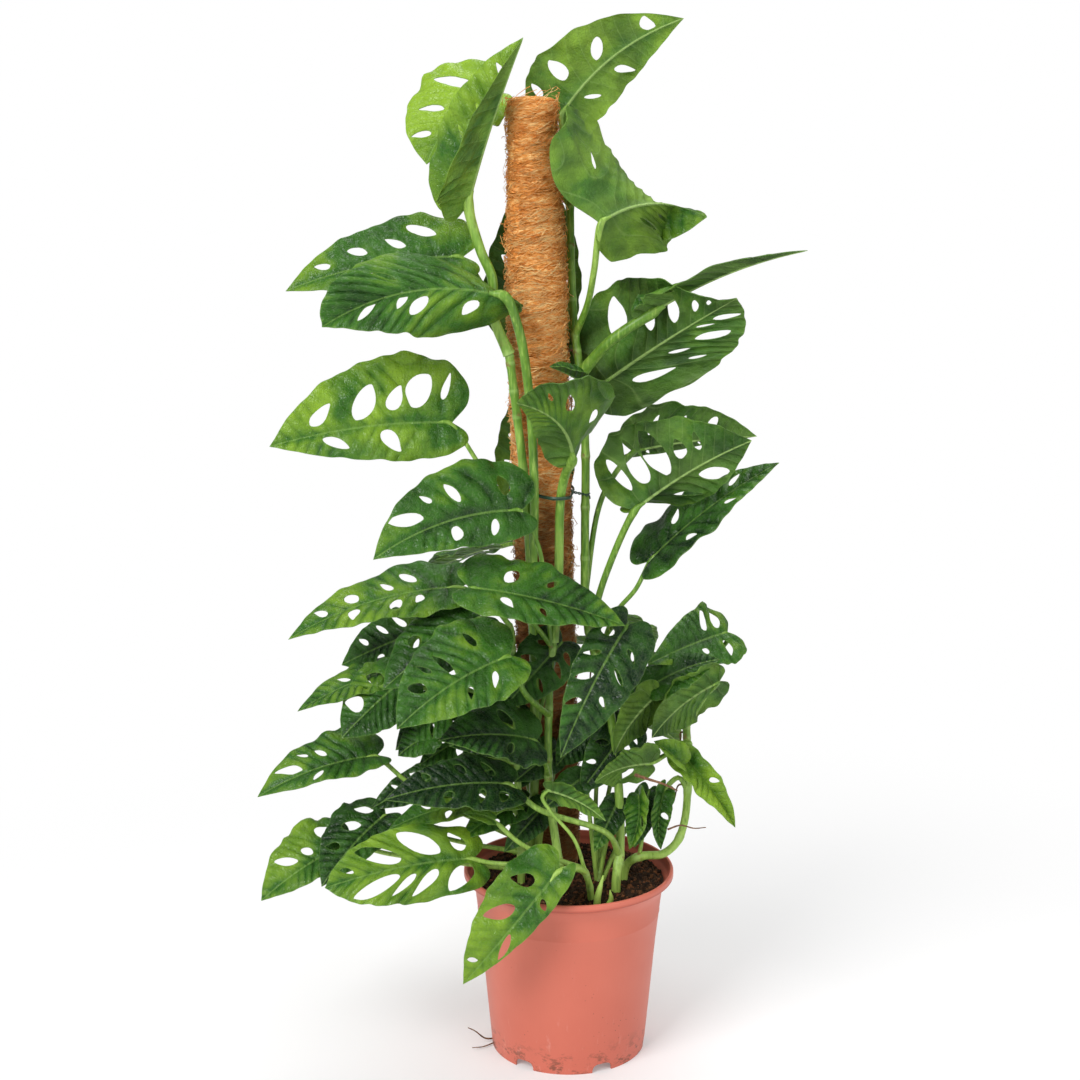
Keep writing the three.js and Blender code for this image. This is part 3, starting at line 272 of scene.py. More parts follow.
         placed(0.72, ((-95, 0, 338),), (-153, 12, 353), (-240, -20, 322), (0, -0.25, 0.95), (26, 26), 0.1,
                ((-1, 0.12, 0.5, 12, 8, 60), (-1, 0.35, 0.5, 12, 7, 60), (1, 0.5, 0.4, 12, 5, 40))),
         placed(0.66, ((-95, -14, 322),), (-145, -12, 350), (-200, -35, 302), (-0.3, -0.8, 0.5), (32, 36),
                0, ((1, 0.25, 0.5, 16, 11, 60), (1, 0.62, 0.5, 16, 12, 50))),
         placed(0.3, ((-100, -26, 232), (-143, -25, 258)), (-170, -22, 282), (-273, -50, 253),
                (-0.1, -0.5, 0.85), (20, 38), 0.2, ((1, 0.42, 0.45, 11, 5, 50), (-1, 0.5, 0.5, 12, 5, 40),
                (1, 0.7, 0.38, 22, 8, 20), (1, 0.56, 0.62, 10, 3, 30))),
         placed(0.55, ((-95, -22, 290),), (-120, -22, 302), (-151, -30, 284), (0, -0.5, 0.85), (20, 20),
                -0.5, ()),
         placed(0.38, (), (-54, -22, 238), (-159, -60, 226), (0, -0.22, 1), (26, 26), 0.5),
         placed(0.26, ((-100, -30, 205), (-150, -34, 222)), (-162, -38, 233), (-214, -90, 186),
                (-0.1, -0.6, 0.75), (24, 36), -0.4, ((1, 0.1, 0.55, 15, 8, 60), (1, 0.34, 0.4, 16, 8, 50),
                (1, 0.62, 0.5, 12, 6, 50))),
         placed(0.2, ((-100, -34, 186), (-160, -38, 196)), (-195, -48, 210), (-268, -80, 169),
                (-0.4, -0.75, 0.5), (20, 40), 0.3, ((1, 0.12, 0.52, 18, 13, 40), (1, 0.38, 0.3, 10, 7, 60),
                (1, 0.6, 0.45, 18, 7, 35)))
     ]},
    {"name": "stem_low_front", "radius": 3.4,
     "route": ((18, -54, 120), (18, -60, 172), (12, -64, 194)),
     "leaves": [
         placed(0.95, ((-30, -66, 196), (-70, -62, 197)), (-84, -60, 200), (-209, -110, 193),
                (0, -0.85, 0.5), (33, 35), 0.6, ((1, 0.56, 0.5, 28, 15, 20), (1, 0.28, 0.52, 27, 16, 50),
                (1, 0.08, 0.5, 16, 10, 80), (-1, 0.62, 0.5, 32, 14, 15), (-1, 0.42, 0.5, 17, 8, 50),
                (-1, 0.28, 0.5, 20, 9, 60), (-1, 0.1, 0.52, 24, 14, 60), (1, 0.8, 0.5, 8, 5, 30)),
                bend=0.02, slide=(0.2, 0.2)),
         placed(0.92, ((5, -82, 200),), (-9, -96, 204), (-92, -112, 106), (0, -0.95, 0.3), (17, 38), 0.55,
                ((1, 0.2, 0.5, 18, 10, 60), (1, 0.46, 0.48, 24, 11, 35), (-1, 0.62, 0.5, 22, 6, 18),
                (1, 0.82, 0.5, 8, 4, 50), (-1, 0.24, 0.5, 9, 5, 60)), thick=2.8),
         placed(0.97, ((-40, -68, 215),), (-66, -66, 238), (-92, -72, 246), (0, -0.5, 0.85), (8, 8), 0.3,
                ()),
         placed(0.9, ((3, -74, 224), (-17, -72, 248), (-24, -72, 261)), (-19, -74, 268), (30, -96, 248),
                (0, 0.8, 0.5), (15, 15), 0.3, (), thick=1.7)
     ]},
    {"name": "stem_right_base", "radius": 4,
     "route": ((50, -12, 120), (52, -14, 176), (66, -20, 187), (84, -20, 189), (97, -14, 198),
               (104, -6, 214), (107, 0, 242), (106, 4, 288), (104, 12, 322)),
     "leaves": [
         placed(0.99, ((120, 44, 345), (146, 62, 364)), (146, 58, 374), (70, -2, 360), (-0.2, -0.8, 0.5),
                (32, 36), 0.2, ((1, 0.33, 0.5, 19, 8, 70), (1, 0.1, 0.5, 20, 13, 80),
                (-1, 0.44, 0.4, 8, 5, 50), (-1, 0.16, 0.5, 16, 8, 60)), slide=(-0.1, -0.28)),
         placed(0.92, ((88, 2, 325),), (72, -8, 341), (134, 4, 363), (0, -0.5, 0.85), (22, 22), -0.6, ()),
         placed(0.95, ((94, 0, 330),), (78, -14, 336), (38, -50, 292), (0.3, 0.75, 0.6), (22, 22), 0.4, ()),
         placed(0.9, ((122, 10, 326),), (134, 0, 344), (72, -34, 302), (0, 0.85, 0.5), (31, 31), 0.1, ()),
         placed(0.8, ((108, -4, 288),), (98, -12, 282), (148, -26, 216), (0.5, -0.8, 0.3), (15, 22), 0.9,
                ((-1, 0.45, 0.5, 9, 4, 50),), fold=(48, 30), ripple=0.13),
         placed(0.86, (), (99, -32, 277), (74, -34, 299), (0.2, -0.8, 0.5), (14, 16), 1, (), fold=(55, 25)),
         placed(0.7, ((90, -28, 286),), (72, -38, 280), (21, -70, 274), (0, 0.8, 0.5), (25, 25), 0.4,
                ((1, 0.3, 0.5, 14, 8, 60),), slide=(0.1, 0.1)),
         placed(0.3, ((68, -22, 226), (66, -23, 242), (64, -27, 250)), (61, -33, 249), (52, -56, 207),
                (-0.4, -0.85, 0.3), (16, 14), 0.45, ((-1, 0.5, 0.5, 9, 5, 40),), thick=1.7, bend=-0.12,
                fold=(42, 20), ripple=0.16),
         placed(0.66, ((98, -6, 256),), (86, -8, 246), (82, -28, 196), (0.2, -0.9, 0.3), (12, 15), 0.3,
                ((-1, 0.45, 0.5, 8, 4, 50),), bend=0.1, fold=(20, 46), ripple=0.16)
     ]},
    {"name": "stem_back", "radius": 3.8,
     "route": ((-48, 50, 118), (-48, 56, 176), (-40, 64, 260), (-33, 67, 340), (-29, 66, 430),
               (-29, 65, 480)),
     "leaves": [
         placed(0.99, ((-31, 76, 490),), (-32, 80, 500), (-26, 92, 620), (0, 1, 0.1), (37, 37), 0.2),
         placed(0.9, ((-48, 90, 450),), (-62, 100, 446), (-138, 175, 400), (-0.2, 0.3, 0.9), (40, 40), 0),
         placed(0.74, ((-6, 84, 378),), (12, 92, 380), (88, 172, 334), (0.1, 0.3, 0.9), (41, 41), -0.1),
         placed(0.62, ((-24, 96, 350),), (-20, 110, 352), (-16, 226, 306), (0, 0.35, 0.9), (40, 40), 0.1),
         placed(0.44, ((-60, 84, 296),), (-78, 96, 296), (-160, 160, 236), (-0.2, 0.3, 0.9), (40, 40),
                -0.2),
         placed(0.4, ((6, 80, 282),), (34, 90, 286), (112, 158, 234), (0.3, 0.4, 0.85), (38, 38), 0)
     ]},
    # Small leaves deep in the clump, given the darkest shade values as painted shade
    {"name": "inner_left", "radius": 3, "alone": True,
     "route": ((-30, 2, 138), (-30, 2, 158), (-31, 0, 172)),
     "leaves": [
         placed(0.95, ((-30, 0, 230), (-30, 2, 280)), (-34, 1, 300), (-106, -30, 293), (0, -0.8, 0.55),
                (27, 28), -1),
         placed(0.8, ((-30, 6, 215), (-36, 10, 246)), (-44, 8, 263), (-137, -30, 246), (0, -0.65, 0.75),
                (25, 27), -0.9),
         placed(0.9, ((-44, 2, 240), (-74, 4, 310)), (-90, 0, 334), (-154, -20, 286), (-0.2, -0.7, 0.6),
                (27, 26), -0.7),
         placed(0.7, ((-28, -6, 205), (-32, -10, 226)), (-37, -12, 237), (-96, -50, 213), (0, -0.5, 0.85),
                (19, 19), -0.5),
         placed(0.6, ((-22, 2, 220), (-13, 4, 262)), (-11, 3, 280), (-49, -25, 258), (0.1, -0.8, 0.5),
                (18, 18), -0.9, ()),
         placed(0.85, ((-36, 8, 240), (-52, 12, 290)), (-64, 10, 306), (-134, -14, 270), (0, -0.8, 0.5),
                (24, 25), -0.8),
         placed(0.55, ((-28, 1, 300), (-14, 2, 360)), (-6, 1, 380), (-58, -38, 330), (0.2, -0.8, 0.5),
                (27, 27), -0.9),
         placed(0.5, ((-60, -4, 225), (-92, -4, 252)), (-104, -6, 262), (-176, -34, 236), (0, -0.7, 0.65),
                (19, 19), -0.6),
         placed(0.45, ((-30, 0, 190), (-22, -4, 218)), (-20, -8, 232), (-58, -40, 198), (0.1, -0.8, 0.5),
                (15, 15), -0.7, ())
     ]},
    # More small leaves deep in the clump, given dark shade values as painted shade
    {"name": "inner_right", "radius": 3.2, "alone": True,
     "route": ((26, -22, 138), (26, -22, 158), (27, -24, 174)),
     "leaves": [
         placed(0.95, ((40, 4, 260), (64, 22, 322)), (80, 24, 330), (34, 4, 368), (0.1, -0.85, 0.5),
                (26, 26), -0.9),
         placed(0.85, ((34, -8, 235), (50, 6, 290)), (54, 6, 302), (9, -30, 250), (0.2, -0.85, 0.4),
                (24, 24), -0.9),
         placed(0.75, ((24, -10, 230), (28, 8, 295)), (29, 12, 311), (-12, -14, 269), (0.1, -0.9, 0.4),
                (24, 24), -1, ()),
         placed(0.65, ((36, -24, 215),), (44, -20, 240), (22, -44, 200), (0, -0.9, 0.4), (13, 13), -0.4,
                ()),
         placed(0.5, ((20, -30, 210), (16, -24, 246)), (14, -20, 262), (-22, -44, 240), (0, -0.75, 0.6),
                (15, 15), -0.7, ()),
         placed(0.45, ((48, -16, 205), (66, -10, 232)), (72, -6, 245), (58, -24, 196), (0.1, -0.9, 0.4),
                (13, 13), -0.6, ())
     ]},
]


def ramp(value, low, high):
    """Goes smoothly from 0 to 1 as the value goes from low to high."""
    share = np.clip((value - low) / (high - low), 0, 1)
    return share * share * (3 - 2 * share)


def unit(vectors):
    """Vectors scaled to a length of 1."""
    vectors = np.asarray(vectors, float)
    return vectors / np.maximum(np.linalg.norm(vectors, axis=-1, keepdims=True), 1e-9)


def smooth_path(points, per_span=12):
    """A centripetal Catmull-Rom curve through points, with many points on each span."""
    points = np.asarray(points, float)
    ends = 2 * points[[0, -1]] - points[[1, -2]]
    knots = np.vstack([ends[:1], points, ends[1:]])
    steps = np.maximum(np.linalg.norm(np.diff(knots, axis=0), axis=1) ** 0.5, 1e-4)
    out = []
    for k in range(len(points) - 1):
        p0, p1, p2, p3 = knots[k:k + 4]
        d0, d1, d2 = steps[k:k + 3]
        m1 = ((p1 - p0) / d0 - (p2 - p0) / (d0 + d1) + (p2 - p1) / d1) * d1
        m2 = ((p2 - p1) / d1 - (p3 - p1) / (d1 + d2) + (p3 - p2) / d2) * d1
        t = np.linspace(0, 1, per_span, endpoint=False)[:, None]
        out.append((2 * t**3 - 3 * t**2 + 1) * p1 + (t**3 - 2 * t**2 + t) * m1
                   + (3 * t**2 - 2 * t**3) * p2 + (t**3 - t**2) * m2)
    return np.vstack([*out, points[-1:]])


def evenly(path, spacing):
    """Points about one spacing apart on a path, and how far along it each one is."""
    lengths = np.r_[0, np.cumsum(np.linalg.norm(np.diff(path, axis=0), axis=1))]
    count = max(2, round(lengths[-1] / spacing) + 1)
    at = np.linspace(0, lengths[-1], count)
    return np.stack([np.interp(at, lengths, path[:, k]) for k in range(path.shape[1])], axis=1), at


def point_at(path, share):
    """The point at a share of a path's length."""
    lengths = np.r_[0, np.cumsum(np.linalg.norm(np.diff(path, axis=0), axis=1))]
    return np.array([np.interp(share * lengths[-1], lengths, path[:, k]) for k in range(3)])


class PieceMesh:
    """Gathers the points, faces and painted values of one piece, in millimetres."""

    VALUES = ("shade", "under", "vein", "edge", "midrib", "node")

    def __init__(self):
        self.points = []
        self.charts = []
        self.values = {name: [] for name in self.VALUES}
        self.faces = []
        self.slots = []
        self.count = 0

    def add(self, points, faces, slot=0, chart=None, **values):
        """Adds a closed shell whose faces take the material in one slot."""
        points = np.asarray(points, float)
        for group in faces:
            self.faces.extend((np.asarray(group) + self.count).tolist())
            self.slots.extend([slot] * len(group))
        self.points.append(points)
        self.charts.append(points if chart is None else chart)
        for name in self.VALUES:
            self.values[name].append(np.broadcast_to(values.get(name, 0.0), len(points)))
        self.count += len(points)

    def build(self, name, materials, sharp_angle=50):
        """Makes the object, with its values as attributes that the materials read."""
        mesh = bpy.data.meshes.new(name)
        mesh.from_pydata((np.vstack(self.points) * MM).tolist(), [], self.faces)
        for material in materials:
            mesh.materials.append(material)
        mesh.polygons.foreach_set("material_index", self.slots)
        chart = mesh.attributes.new("chart", "FLOAT_VECTOR", "POINT")
        chart.data.foreach_set("vector", (np.vstack(self.charts) * MM).ravel())
        for key, parts in self.values.items():
            layer = mesh.attributes.new(key, "FLOAT", "POINT")
            layer.data.foreach_set("value", np.concatenate(parts).astype(float))
        mesh.shade_smooth()
        mesh.set_sharp_from_angle(angle=math.radians(sharp_angle))
        piece = bpy.data.objects.new(name, mesh)
        bpy.context.scene.collection.objects.link(piece)
        return piece


TURNED_OVER = [0, 3, 2, 1]  # the order of a four-sided face's corners that turns it over


def ring_faces(rings, sides):
    """The four-sided faces between rings of points that follow each other."""
    k = np.arange(sides)
    onward = (k + 1) % sides
    return np.vstack([np.stack([low + k, low + onward, low + sides + onward, low + sides + k], 1)
                      for low in range(0, (rings - 1) * sides, sides)])


def closed_faces(rings, sides):
    """Faces between rings, and fans to the two points after them that close the first and last."""
    k = np.arange(sides)
    onward = (k + 1) % sides
    foot, last = np.full(sides, rings * sides), (rings - 1) * sides
    return [ring_faces(rings, sides), np.vstack([
        np.stack([foot, onward, k], 1), np.stack([foot + 1, last + k, last + onward], 1)])]


def circle(sides):
    """Places round a circle of radius 1, and their angles."""
    turns = np.linspace(0, 2 * np.pi, sides, endpoint=False)
    return np.column_stack([np.cos(turns), np.sin(turns)]), turns


def tube(path, radii, sides=10):
    """Points and faces of a closed tube along a path, its rings carried without twist."""
    path = np.asarray(path, float)
    radii = np.broadcast_to(radii, len(path))
    ahead = unit(np.gradient(path, axis=0))
    start = np.array([0, 0, 1.0]) if abs(ahead[0][2]) < 0.9 else np.array([1.0, 0, 0])
    side = unit(np.cross(ahead[0], start))
    rings = []
    round_it, _ = circle(sides)
    for point, forward, radius in zip(path, ahead, radii):
        side = unit(side - forward * (side @ forward))
        other = np.cross(forward, side)
        rings.append(point + radius * (round_it[:, :1] * side + round_it[:, 1:] * other))
    points = np.vstack([*rings, path[:1], path[-1:]])
    return points, closed_faces(len(path), sides), np.repeat(np.arange(len(path)), sides)


def add_tube(mesh, path, radii, slot, sides=10, **values):
    """Adds a tube to a piece. Values given per path point are spread round each ring."""
    points, faces, ring = tube(path, radii, sides)
    ring = np.r_[ring, 0, len(path) - 1]
    spread = {key: np.broadcast_to(value, len(path))[ring] for key, value in values.items()}
    mesh.add(points, faces, slot, **spread)


def revolved(profile, sides):
    """Points and faces of a closed shape turned about +Z from a profile that starts and ends on it."""
    ring, _ = circle(sides)
    body = profile[1:-1]
    points = [np.column_stack([ring * radius, np.full(sides, height)]) for radius, height in body]
    ends = [[0, 0, profile[0][1]], [0, 0, profile[-1][1]]]
    return np.vstack([*points, ends]), closed_faces(len(body), sides)


# Leaves


def blade_points(leaf, along, side):
    """Places on a blade's middle surface, from shares along the midrib and across each half."""
    base = np.array(leaf["base"], float)
    span = np.array(leaf["tip"], float) - base
    length = np.linalg.norm(span)
    ahead = span / length
    up = np.array(leaf["faces"], float)
    up = unit(up - ahead * (up @ ahead))
    right = np.cross(ahead, up)
    arch, usual_ripple, most_twist = LOW_DROOP if base[2] < LOW_LEAVES else USUAL_DROOP
    bend, ripple = leaf.get("bend", 0), leaf.get("ripple", usual_ripple)
    twist = most_twist * math.sin(leaf["base"][0] * 0.37 + leaf["tip"][2] * 0.61)
    left_side = side < 0
    pick = {key: np.where(left_side, pair[0], pair[1]) for key, pair in (
        ("half", leaf["halves"]), ("fold", leaf.get("fold", (8, 8))),
        ("furl", leaf.get("furl", (0, 0))), ("slide", leaf.get("slide", (0, 0))),
        ("tuck", leaf.get("tuck", (0, 0))))}
    share = np.abs(side)
    angle = np.radians(pick["fold"] + pick["furl"] * along * np.maximum(along, 0)
                       + pick["tuck"] * np.maximum(1 - along, 0) ** 3)
    wave = ripple * (np.sin(2 * np.pi * (2.4 * along + np.where(left_side, 0.15, 0.6)))
                     + 0.55 * share**2 * np.sin(2 * np.pi * (6.3 * along + np.where(left_side, 0.4, 0.1))))
    rise = np.sin(angle) * share - 0.12 * share**2 + wave * share**2
    moved = along + pick["slide"] * share * np.clip(3 * along, 0, 1)
    bow = (4 * moved * (1 - moved) * length)[:, None]
    middle = base + span * moved[:, None] + up * arch * bow + right * bend * bow
    slope = (4 * (1 - 2 * along) * length)[:, None]
    tangent = unit(span + up * arch * slope + right * bend * slope)
    normal = unit(up - tangent * (tangent @ up)[:, None])
    turn = (np.radians(twist) * (along - 0.5))[:, None]
    normal = normal * np.cos(turn) + np.cross(tangent, normal) * np.sin(turn)
    across = np.cross(tangent, normal)
    out = (np.sign(side) * np.cos(angle) * share * pick["half"])[:, None]
    return middle + across * out + normal * (rise * pick["half"])[:, None]


def inside(points, ring):
    """Which points lie inside a closed ring, both flat."""
    x, y = points[:, :1], points[:, 1:]
    x1, y1 = ring.T
    x2, y2 = np.roll(ring, -1, axis=0).T
    crosses = (y1 > y) != (y2 > y)
    at = x1 + (y - y1) * (x2 - x1) / np.where(y2 == y1, 1e-9, y2 - y1)
    return (crosses & (x < at)).sum(axis=1) % 2 == 1


def margin_curve():
    """The smooth margin of one half: along the midrib and across, where 1 is half the width."""
    curve = smooth_path(np.array(MARGIN) * (1, 2), 10)
    curve[:, 1] = np.maximum(curve[:, 1], 0)
    return curve


def room_at(along):
    """How far across the margin is at places along the midrib."""
    curve = margin_curve()
    wide = curve[np.argmax(curve[:, 0] > WIDE_FROM):]
    return np.interp(np.maximum(along, WIDE_FROM), wide[:, 0], wide[:, 1])


def hole_ring(leaf, length, hole):
    """The oval edge of one hole on the flat blade, kept clear of the midrib and the margin."""
    side, along, across, long, wide, slant = hole
    reach = leaf["halves"][0 if side < 0 else 1]
    turns = np.linspace(0, 2 * np.pi, max(16, round(1.3 * (long + wide) / 2)), endpoint=False)
    seed = 9 * along + 5 * across + side
    ragged = 1 + 0.07 * np.sin(2 * turns + 11 * seed) + 0.06 * np.sin(3 * turns + 5 * seed)
    u = 0.55 * long * np.cos(turns) * ragged
    v = 0.58 * wide * np.sin(turns) * np.abs(np.sin(turns)) ** 0.25 * (1 - 0.25 * np.cos(turns)) * ragged
    lean = math.radians(slant)
    x = along * length + u * math.cos(lean) - v * math.sin(lean)
    centre = across * room_at(np.array([along]))[0] * reach
    y = centre + u * math.sin(lean) + v * math.cos(lean)
    low, high = (limit * room_at(x / length) * reach for limit in HOLE_LIMITS)
    squeeze = max(1.0, (y.max() - y.min()) / max((high - low).min() * 1.1, 1))
    y = np.clip(centre + (y - centre) / squeeze, low, high)
    return np.column_stack([x, side * y])


def usual_holes(leaf, length):
    """A few holes between the side veins, for a leaf that names none."""
    chance = np.random.default_rng(int(abs(leaf["base"][0] * 7 + leaf["base"][2] * 3)))
    holes = []
    for side, places in ((-1, (0.1, 0.27, 0.53)), (1, (0.16, 0.39, 0.64))):
        for along in places:
            room = room_at(np.array([along]))[0] * leaf["halves"][0 if side < 0 else 1]
            long = room * (0.4 + 0.2 * chance.random())
            wide = min(0.06 * length, 0.3 * room) * (0.7 + 0.5 * chance.random())
            along += 0.03 * chance.random()
            holes.append((side, along, 0.48 + 0.06 * chance.random(), long, wide, 58))
    return holes


def blade_rings(leaf, length, spacing):
    """The flat outline of a blade and the rings of its holes."""
    curve = margin_curve()
    seed = abs(leaf["base"][0]) + abs(leaf["tip"][2])
    halves = []
    for side, reach in ((1, leaf["halves"][1]), (-1, leaf["halves"][0])):
        waves = 0.02 * np.sin(curve[:, 0] * 29 + seed + side) + 0.012 * np.sin(curve[:, 0] * 57 + 2 * seed)
        flat = np.column_stack([curve[:, 0] * length, side * curve[:, 1] * reach * (1 + waves)])
        halves.append(evenly(flat, spacing)[0])
    outline = np.vstack([halves[0], halves[1][::-1][1:-1]])
    holes = usual_holes(leaf, length) if leaf["holes"] is None else leaf["holes"]
    return outline, [hole_ring(leaf, length, hole) for hole in holes]


def blade_chart(leaf, length, spacing):
    """Flat points and triangles of a blade, with a row on the midrib and close rows beside it."""
    outline, holes = blade_rings(leaf, length, spacing)
    low, high = outline.min(axis=0), outline.max(axis=0)
    rows = np.arange(low[1], high[1], spacing * 0.87)
    grid = []
    for k, y in enumerate(rows):
        x = np.arange(low[0] + (k % 2) * spacing / 2, high[0], spacing)
        grid.append(np.column_stack([x, np.full(len(x), y)]))
    grid = np.vstack(grid)
    grid = grid[np.abs(grid[:, 1]) > BESIDE_MIDRIB[1] + 1]
    beside = np.arange(spacing, length - spacing, spacing)
    near, far = BESIDE_MIDRIB
    close = np.vstack([np.column_stack([beside, np.full(len(beside), y)]) for y in (-far, -near, near, far)])
    middle = np.column_stack([beside, np.zeros(len(beside))])
    border = np.vstack([outline, *holes])
    loose = np.vstack([grid, close])
    keep = inside(loose, outline)
    for ring in holes:
        keep &= ~inside(loose, ring)
    loose = loose[keep]
    gap = np.sqrt(((loose[:, None] - border[None]) ** 2).sum(axis=2)).min(axis=1)
    limit = np.where(np.abs(loose[:, 1]) < 2.5, 0.4, 0.55) * spacing
    loose = loose[gap > limit]

    points = np.vstack([border, middle, loose])
    edges, start = [], 0
    for ring in (outline, *holes):
        count = len(ring)
        edges += [(start + k, start + (k + 1) % count) for k in range(count)]
        start += count
    tip = int(np.argmax(outline[:, 0]))
    spine = [0, *range(start, start + len(middle)), tip]
    edges += list(zip(spine, spine[1:]))
    found = delaunay_2d_cdt([tuple(p) for p in points], edges, [], 0, 1e-5)
    flat = np.array([tuple(p) for p in found[0]])
    triangles = np.array(found[2])
    centres = flat[triangles].mean(axis=1)
    keep = inside(centres, outline)
    for ring in holes:
        keep &= ~inside(centres, ring)
    a, b, c = (flat[triangles[:, k]] for k in range(3))
    doubled = (b[:, 0] - a[:, 0]) * (c[:, 1] - a[:, 1]) - (b[:, 1] - a[:, 1]) * (c[:, 0] - a[:, 0])
    keep &= np.abs(doubled) > 1e-4
    triangles[doubled > 0] = triangles[doubled > 0][:, ::-1]
    triangles = triangles[keep]
    used, triangles = np.unique(triangles, return_inverse=True)
    flat = flat[used]
    gap = np.sqrt(((flat[:, None] - border[None]) ** 2).sum(axis=2)).min(axis=1)
    return flat, triangles.reshape(-1, 3), gap


def rim_faces(triangles, count):
    """The faces that close the two layers of a blade along its edges."""
    pairs = np.vstack([triangles[:, [0, 1]], triangles[:, [1, 2]], triangles[:, [2, 0]]])
    known = {tuple(pair) for pair in pairs.tolist()}
    open_pairs = np.array([pair for pair in pairs.tolist() if (pair[1], pair[0]) not in known])
    a, b = open_pairs.T
    return np.stack([b, a, a + count, b + count], 1)


def vein_phase(length, flat):
    """Counts the side veins along a blade: whole numbers lie on a vein."""
    spacing = float(np.clip(VEIN_SPACING * length, *VEIN_SPACING_LIMITS))
    along = flat[:, 0] / length
    lean = -0.4 + 1.05 * ramp(along, -0.1, 0.35)
    stray = 0.14 * np.sin(flat[:, 0] * 0.085 + length) + 0.08 * np.sin(flat[:, 1] * 0.14 + 2 * length)
    return (flat[:, 0] - lean * np.abs(flat[:, 1])) / spacing + 0.17 * np.sign(flat[:, 1]) + stray


def add_blade(mesh, leaf, number, looks):
    """Adds a blade of two layers: sunken midrib and raised panels above, a raised midrib below."""
    length = float(np.linalg.norm(np.subtract(leaf["tip"], leaf["base"])))
    flat, triangles, gap = blade_chart(leaf, length, looks.mesh_spacing / MM)
    along = flat[:, 0] / length
    reach = np.where(flat[:, 1] < 0, leaf["halves"][0], leaf["halves"][1])
    middle = blade_points(leaf, along, flat[:, 1] / reach)
    corners = middle[triangles]
    facing = np.cross(corners[:, 1] - corners[:, 0], corners[:, 2] - corners[:, 0])
    normals = np.zeros_like(middle)
    for k in range(3):
        np.add.at(normals, triangles[:, k], facing)
    normals = unit(normals)

    phase = vein_phase(length, flat)
    from_midrib = np.abs(flat[:, 1])
    panel = np.abs(np.sin(np.pi * phase)) ** 0.8
    lift = looks.panel_rise / MM * panel * ramp(from_midrib, 0.5, 8) * ramp(gap, 0.2, 4)
    seed = number * 1.7
    x, y = flat.T
    waves = np.sin(x * 0.11 + seed) * np.sin(y * 0.16 + 2 * seed)
    waves += 0.5 * np.sin(x * 0.31 + y * 0.2 + 3 * seed) * np.sin(y * 0.37 - x * 0.12 + seed)
    lift += 0.8 * waves * ramp(from_midrib, 2, 12)
    share = np.clip(along, 0, 1)
    rib = (1.5 - 1.1 * share) * np.exp(-((from_midrib / (1.45 - 0.8 * share)) ** 2)) * ramp(gap, 0.2, 2)
    groove = 0.3 * np.exp(-((from_midrib / 0.9) ** 2))
    half = looks.blade_thickness / MM / 2
    above = middle + normals * (lift + half - groove)[:, None]
    below = middle + normals * (lift - half - rib)[:, None]
    chart = np.column_stack([flat, np.full(len(flat), number * CHART_STEP)])
    count = len(flat)
    mesh.add(
        np.vstack([above, below]), [triangles, triangles[:, ::-1] + count, rim_faces(triangles, count)],
        0, np.vstack([chart, chart]), shade=leaf["shade"], vein=np.tile(phase, 2), edge=np.tile(gap, 2),
        midrib=np.tile(from_midrib / (1.6 - 0.9 * share), 2), under=np.repeat([0.0, 1.0], count))


def add_petiole(mesh, leaf, stem_path, shade):
    """Adds a petiole: it clasps the stem, narrows, and swells again before it meets the midrib."""
    heel, toe = blade_points(leaf, np.array([0.02, 0.1]), np.array([0.0, 0.0]))
    ahead = unit(np.subtract(leaf["tip"], leaf["base"]))
    faces = np.array(leaf["faces"], float)
    up = unit(faces - ahead * (faces @ ahead))
    start = point_at(stem_path, leaf["at"])
    route = smooth_path([start, *leaf["petiole"], heel - 0.6 * up, toe - 0.9 * up])
    path, at = evenly(route, 3)
    from_end = at[-1] - at
    radius = leaf.get("thick", PETIOLE_RADIUS)
    radii = radius * (0.92 + 0.28 * np.exp(-at / 14) + 0.12 * np.exp(-(((from_end - 14) / 7) ** 2)))
    radii *= 0.45 + 0.55 * ramp(from_end, 0, 12)
    add_tube(mesh, path, radii, 1, 10, shade=shade, node=np.exp(-at / 10), edge=at)


def add_stem(mesh, stem):
    """Adds a stem that thickens at each node, where a leaf leaves it."""
    path, at = evenly(smooth_path(stem["route"], 16), 3)
    nodes = [leaf["at"] * at[-1] for leaf in stem["leaves"]]
    nodes += list(np.arange(at[-1] * 0.1, at[-1], NODE_SPACING))
    nearest = np.abs(at[:, None] - np.array(nodes)[None]).min(axis=1)
    swell = np.exp(-((nearest / 3.2) ** 2))
    radii = stem["radius"] * (1 - 0.2 * at / at[-1]) * (1 + 0.17 * swell)
    radii *= 0.5 + 0.5 * ramp(at[-1] - at, 0, 6)
    add_tube(mesh, path, radii, 1, 14, shade=0.2, node=swell, edge=nearest)
    return path


def add_roots(mesh, stem, path, chance):
    """Adds short aerial roots that leave the nodes of a stem and turn down towards the pole."""
    for leaf in stem["leaves"]:
        if chance.random() > ROOT_CHANCE or leaf["at"] < 0.1:
            continue
        start = point_at(path, leaf["at"] - 0.02)
        beside = np.array(POLE_FOOT[:2]) + (start[2] - POLE_FOOT[2]) * np.array(POLE_LEAN)
        inwards = unit(np.array([*beside, start[2]]) - start)
        drop = 10 + 14 * chance.random()
        swing = np.array([*(chance.random(2) * 10 - 5), 0])
        route = [start, start + inwards * 7 + swing * 0.4, start + inwards * 9 + swing + [0, 0, -drop]]
        root, at = evenly(smooth_path(route), 2)
        add_tube(mesh, root, 1.1 - 0.6 * at / at[-1], 2, 6, edge=at)


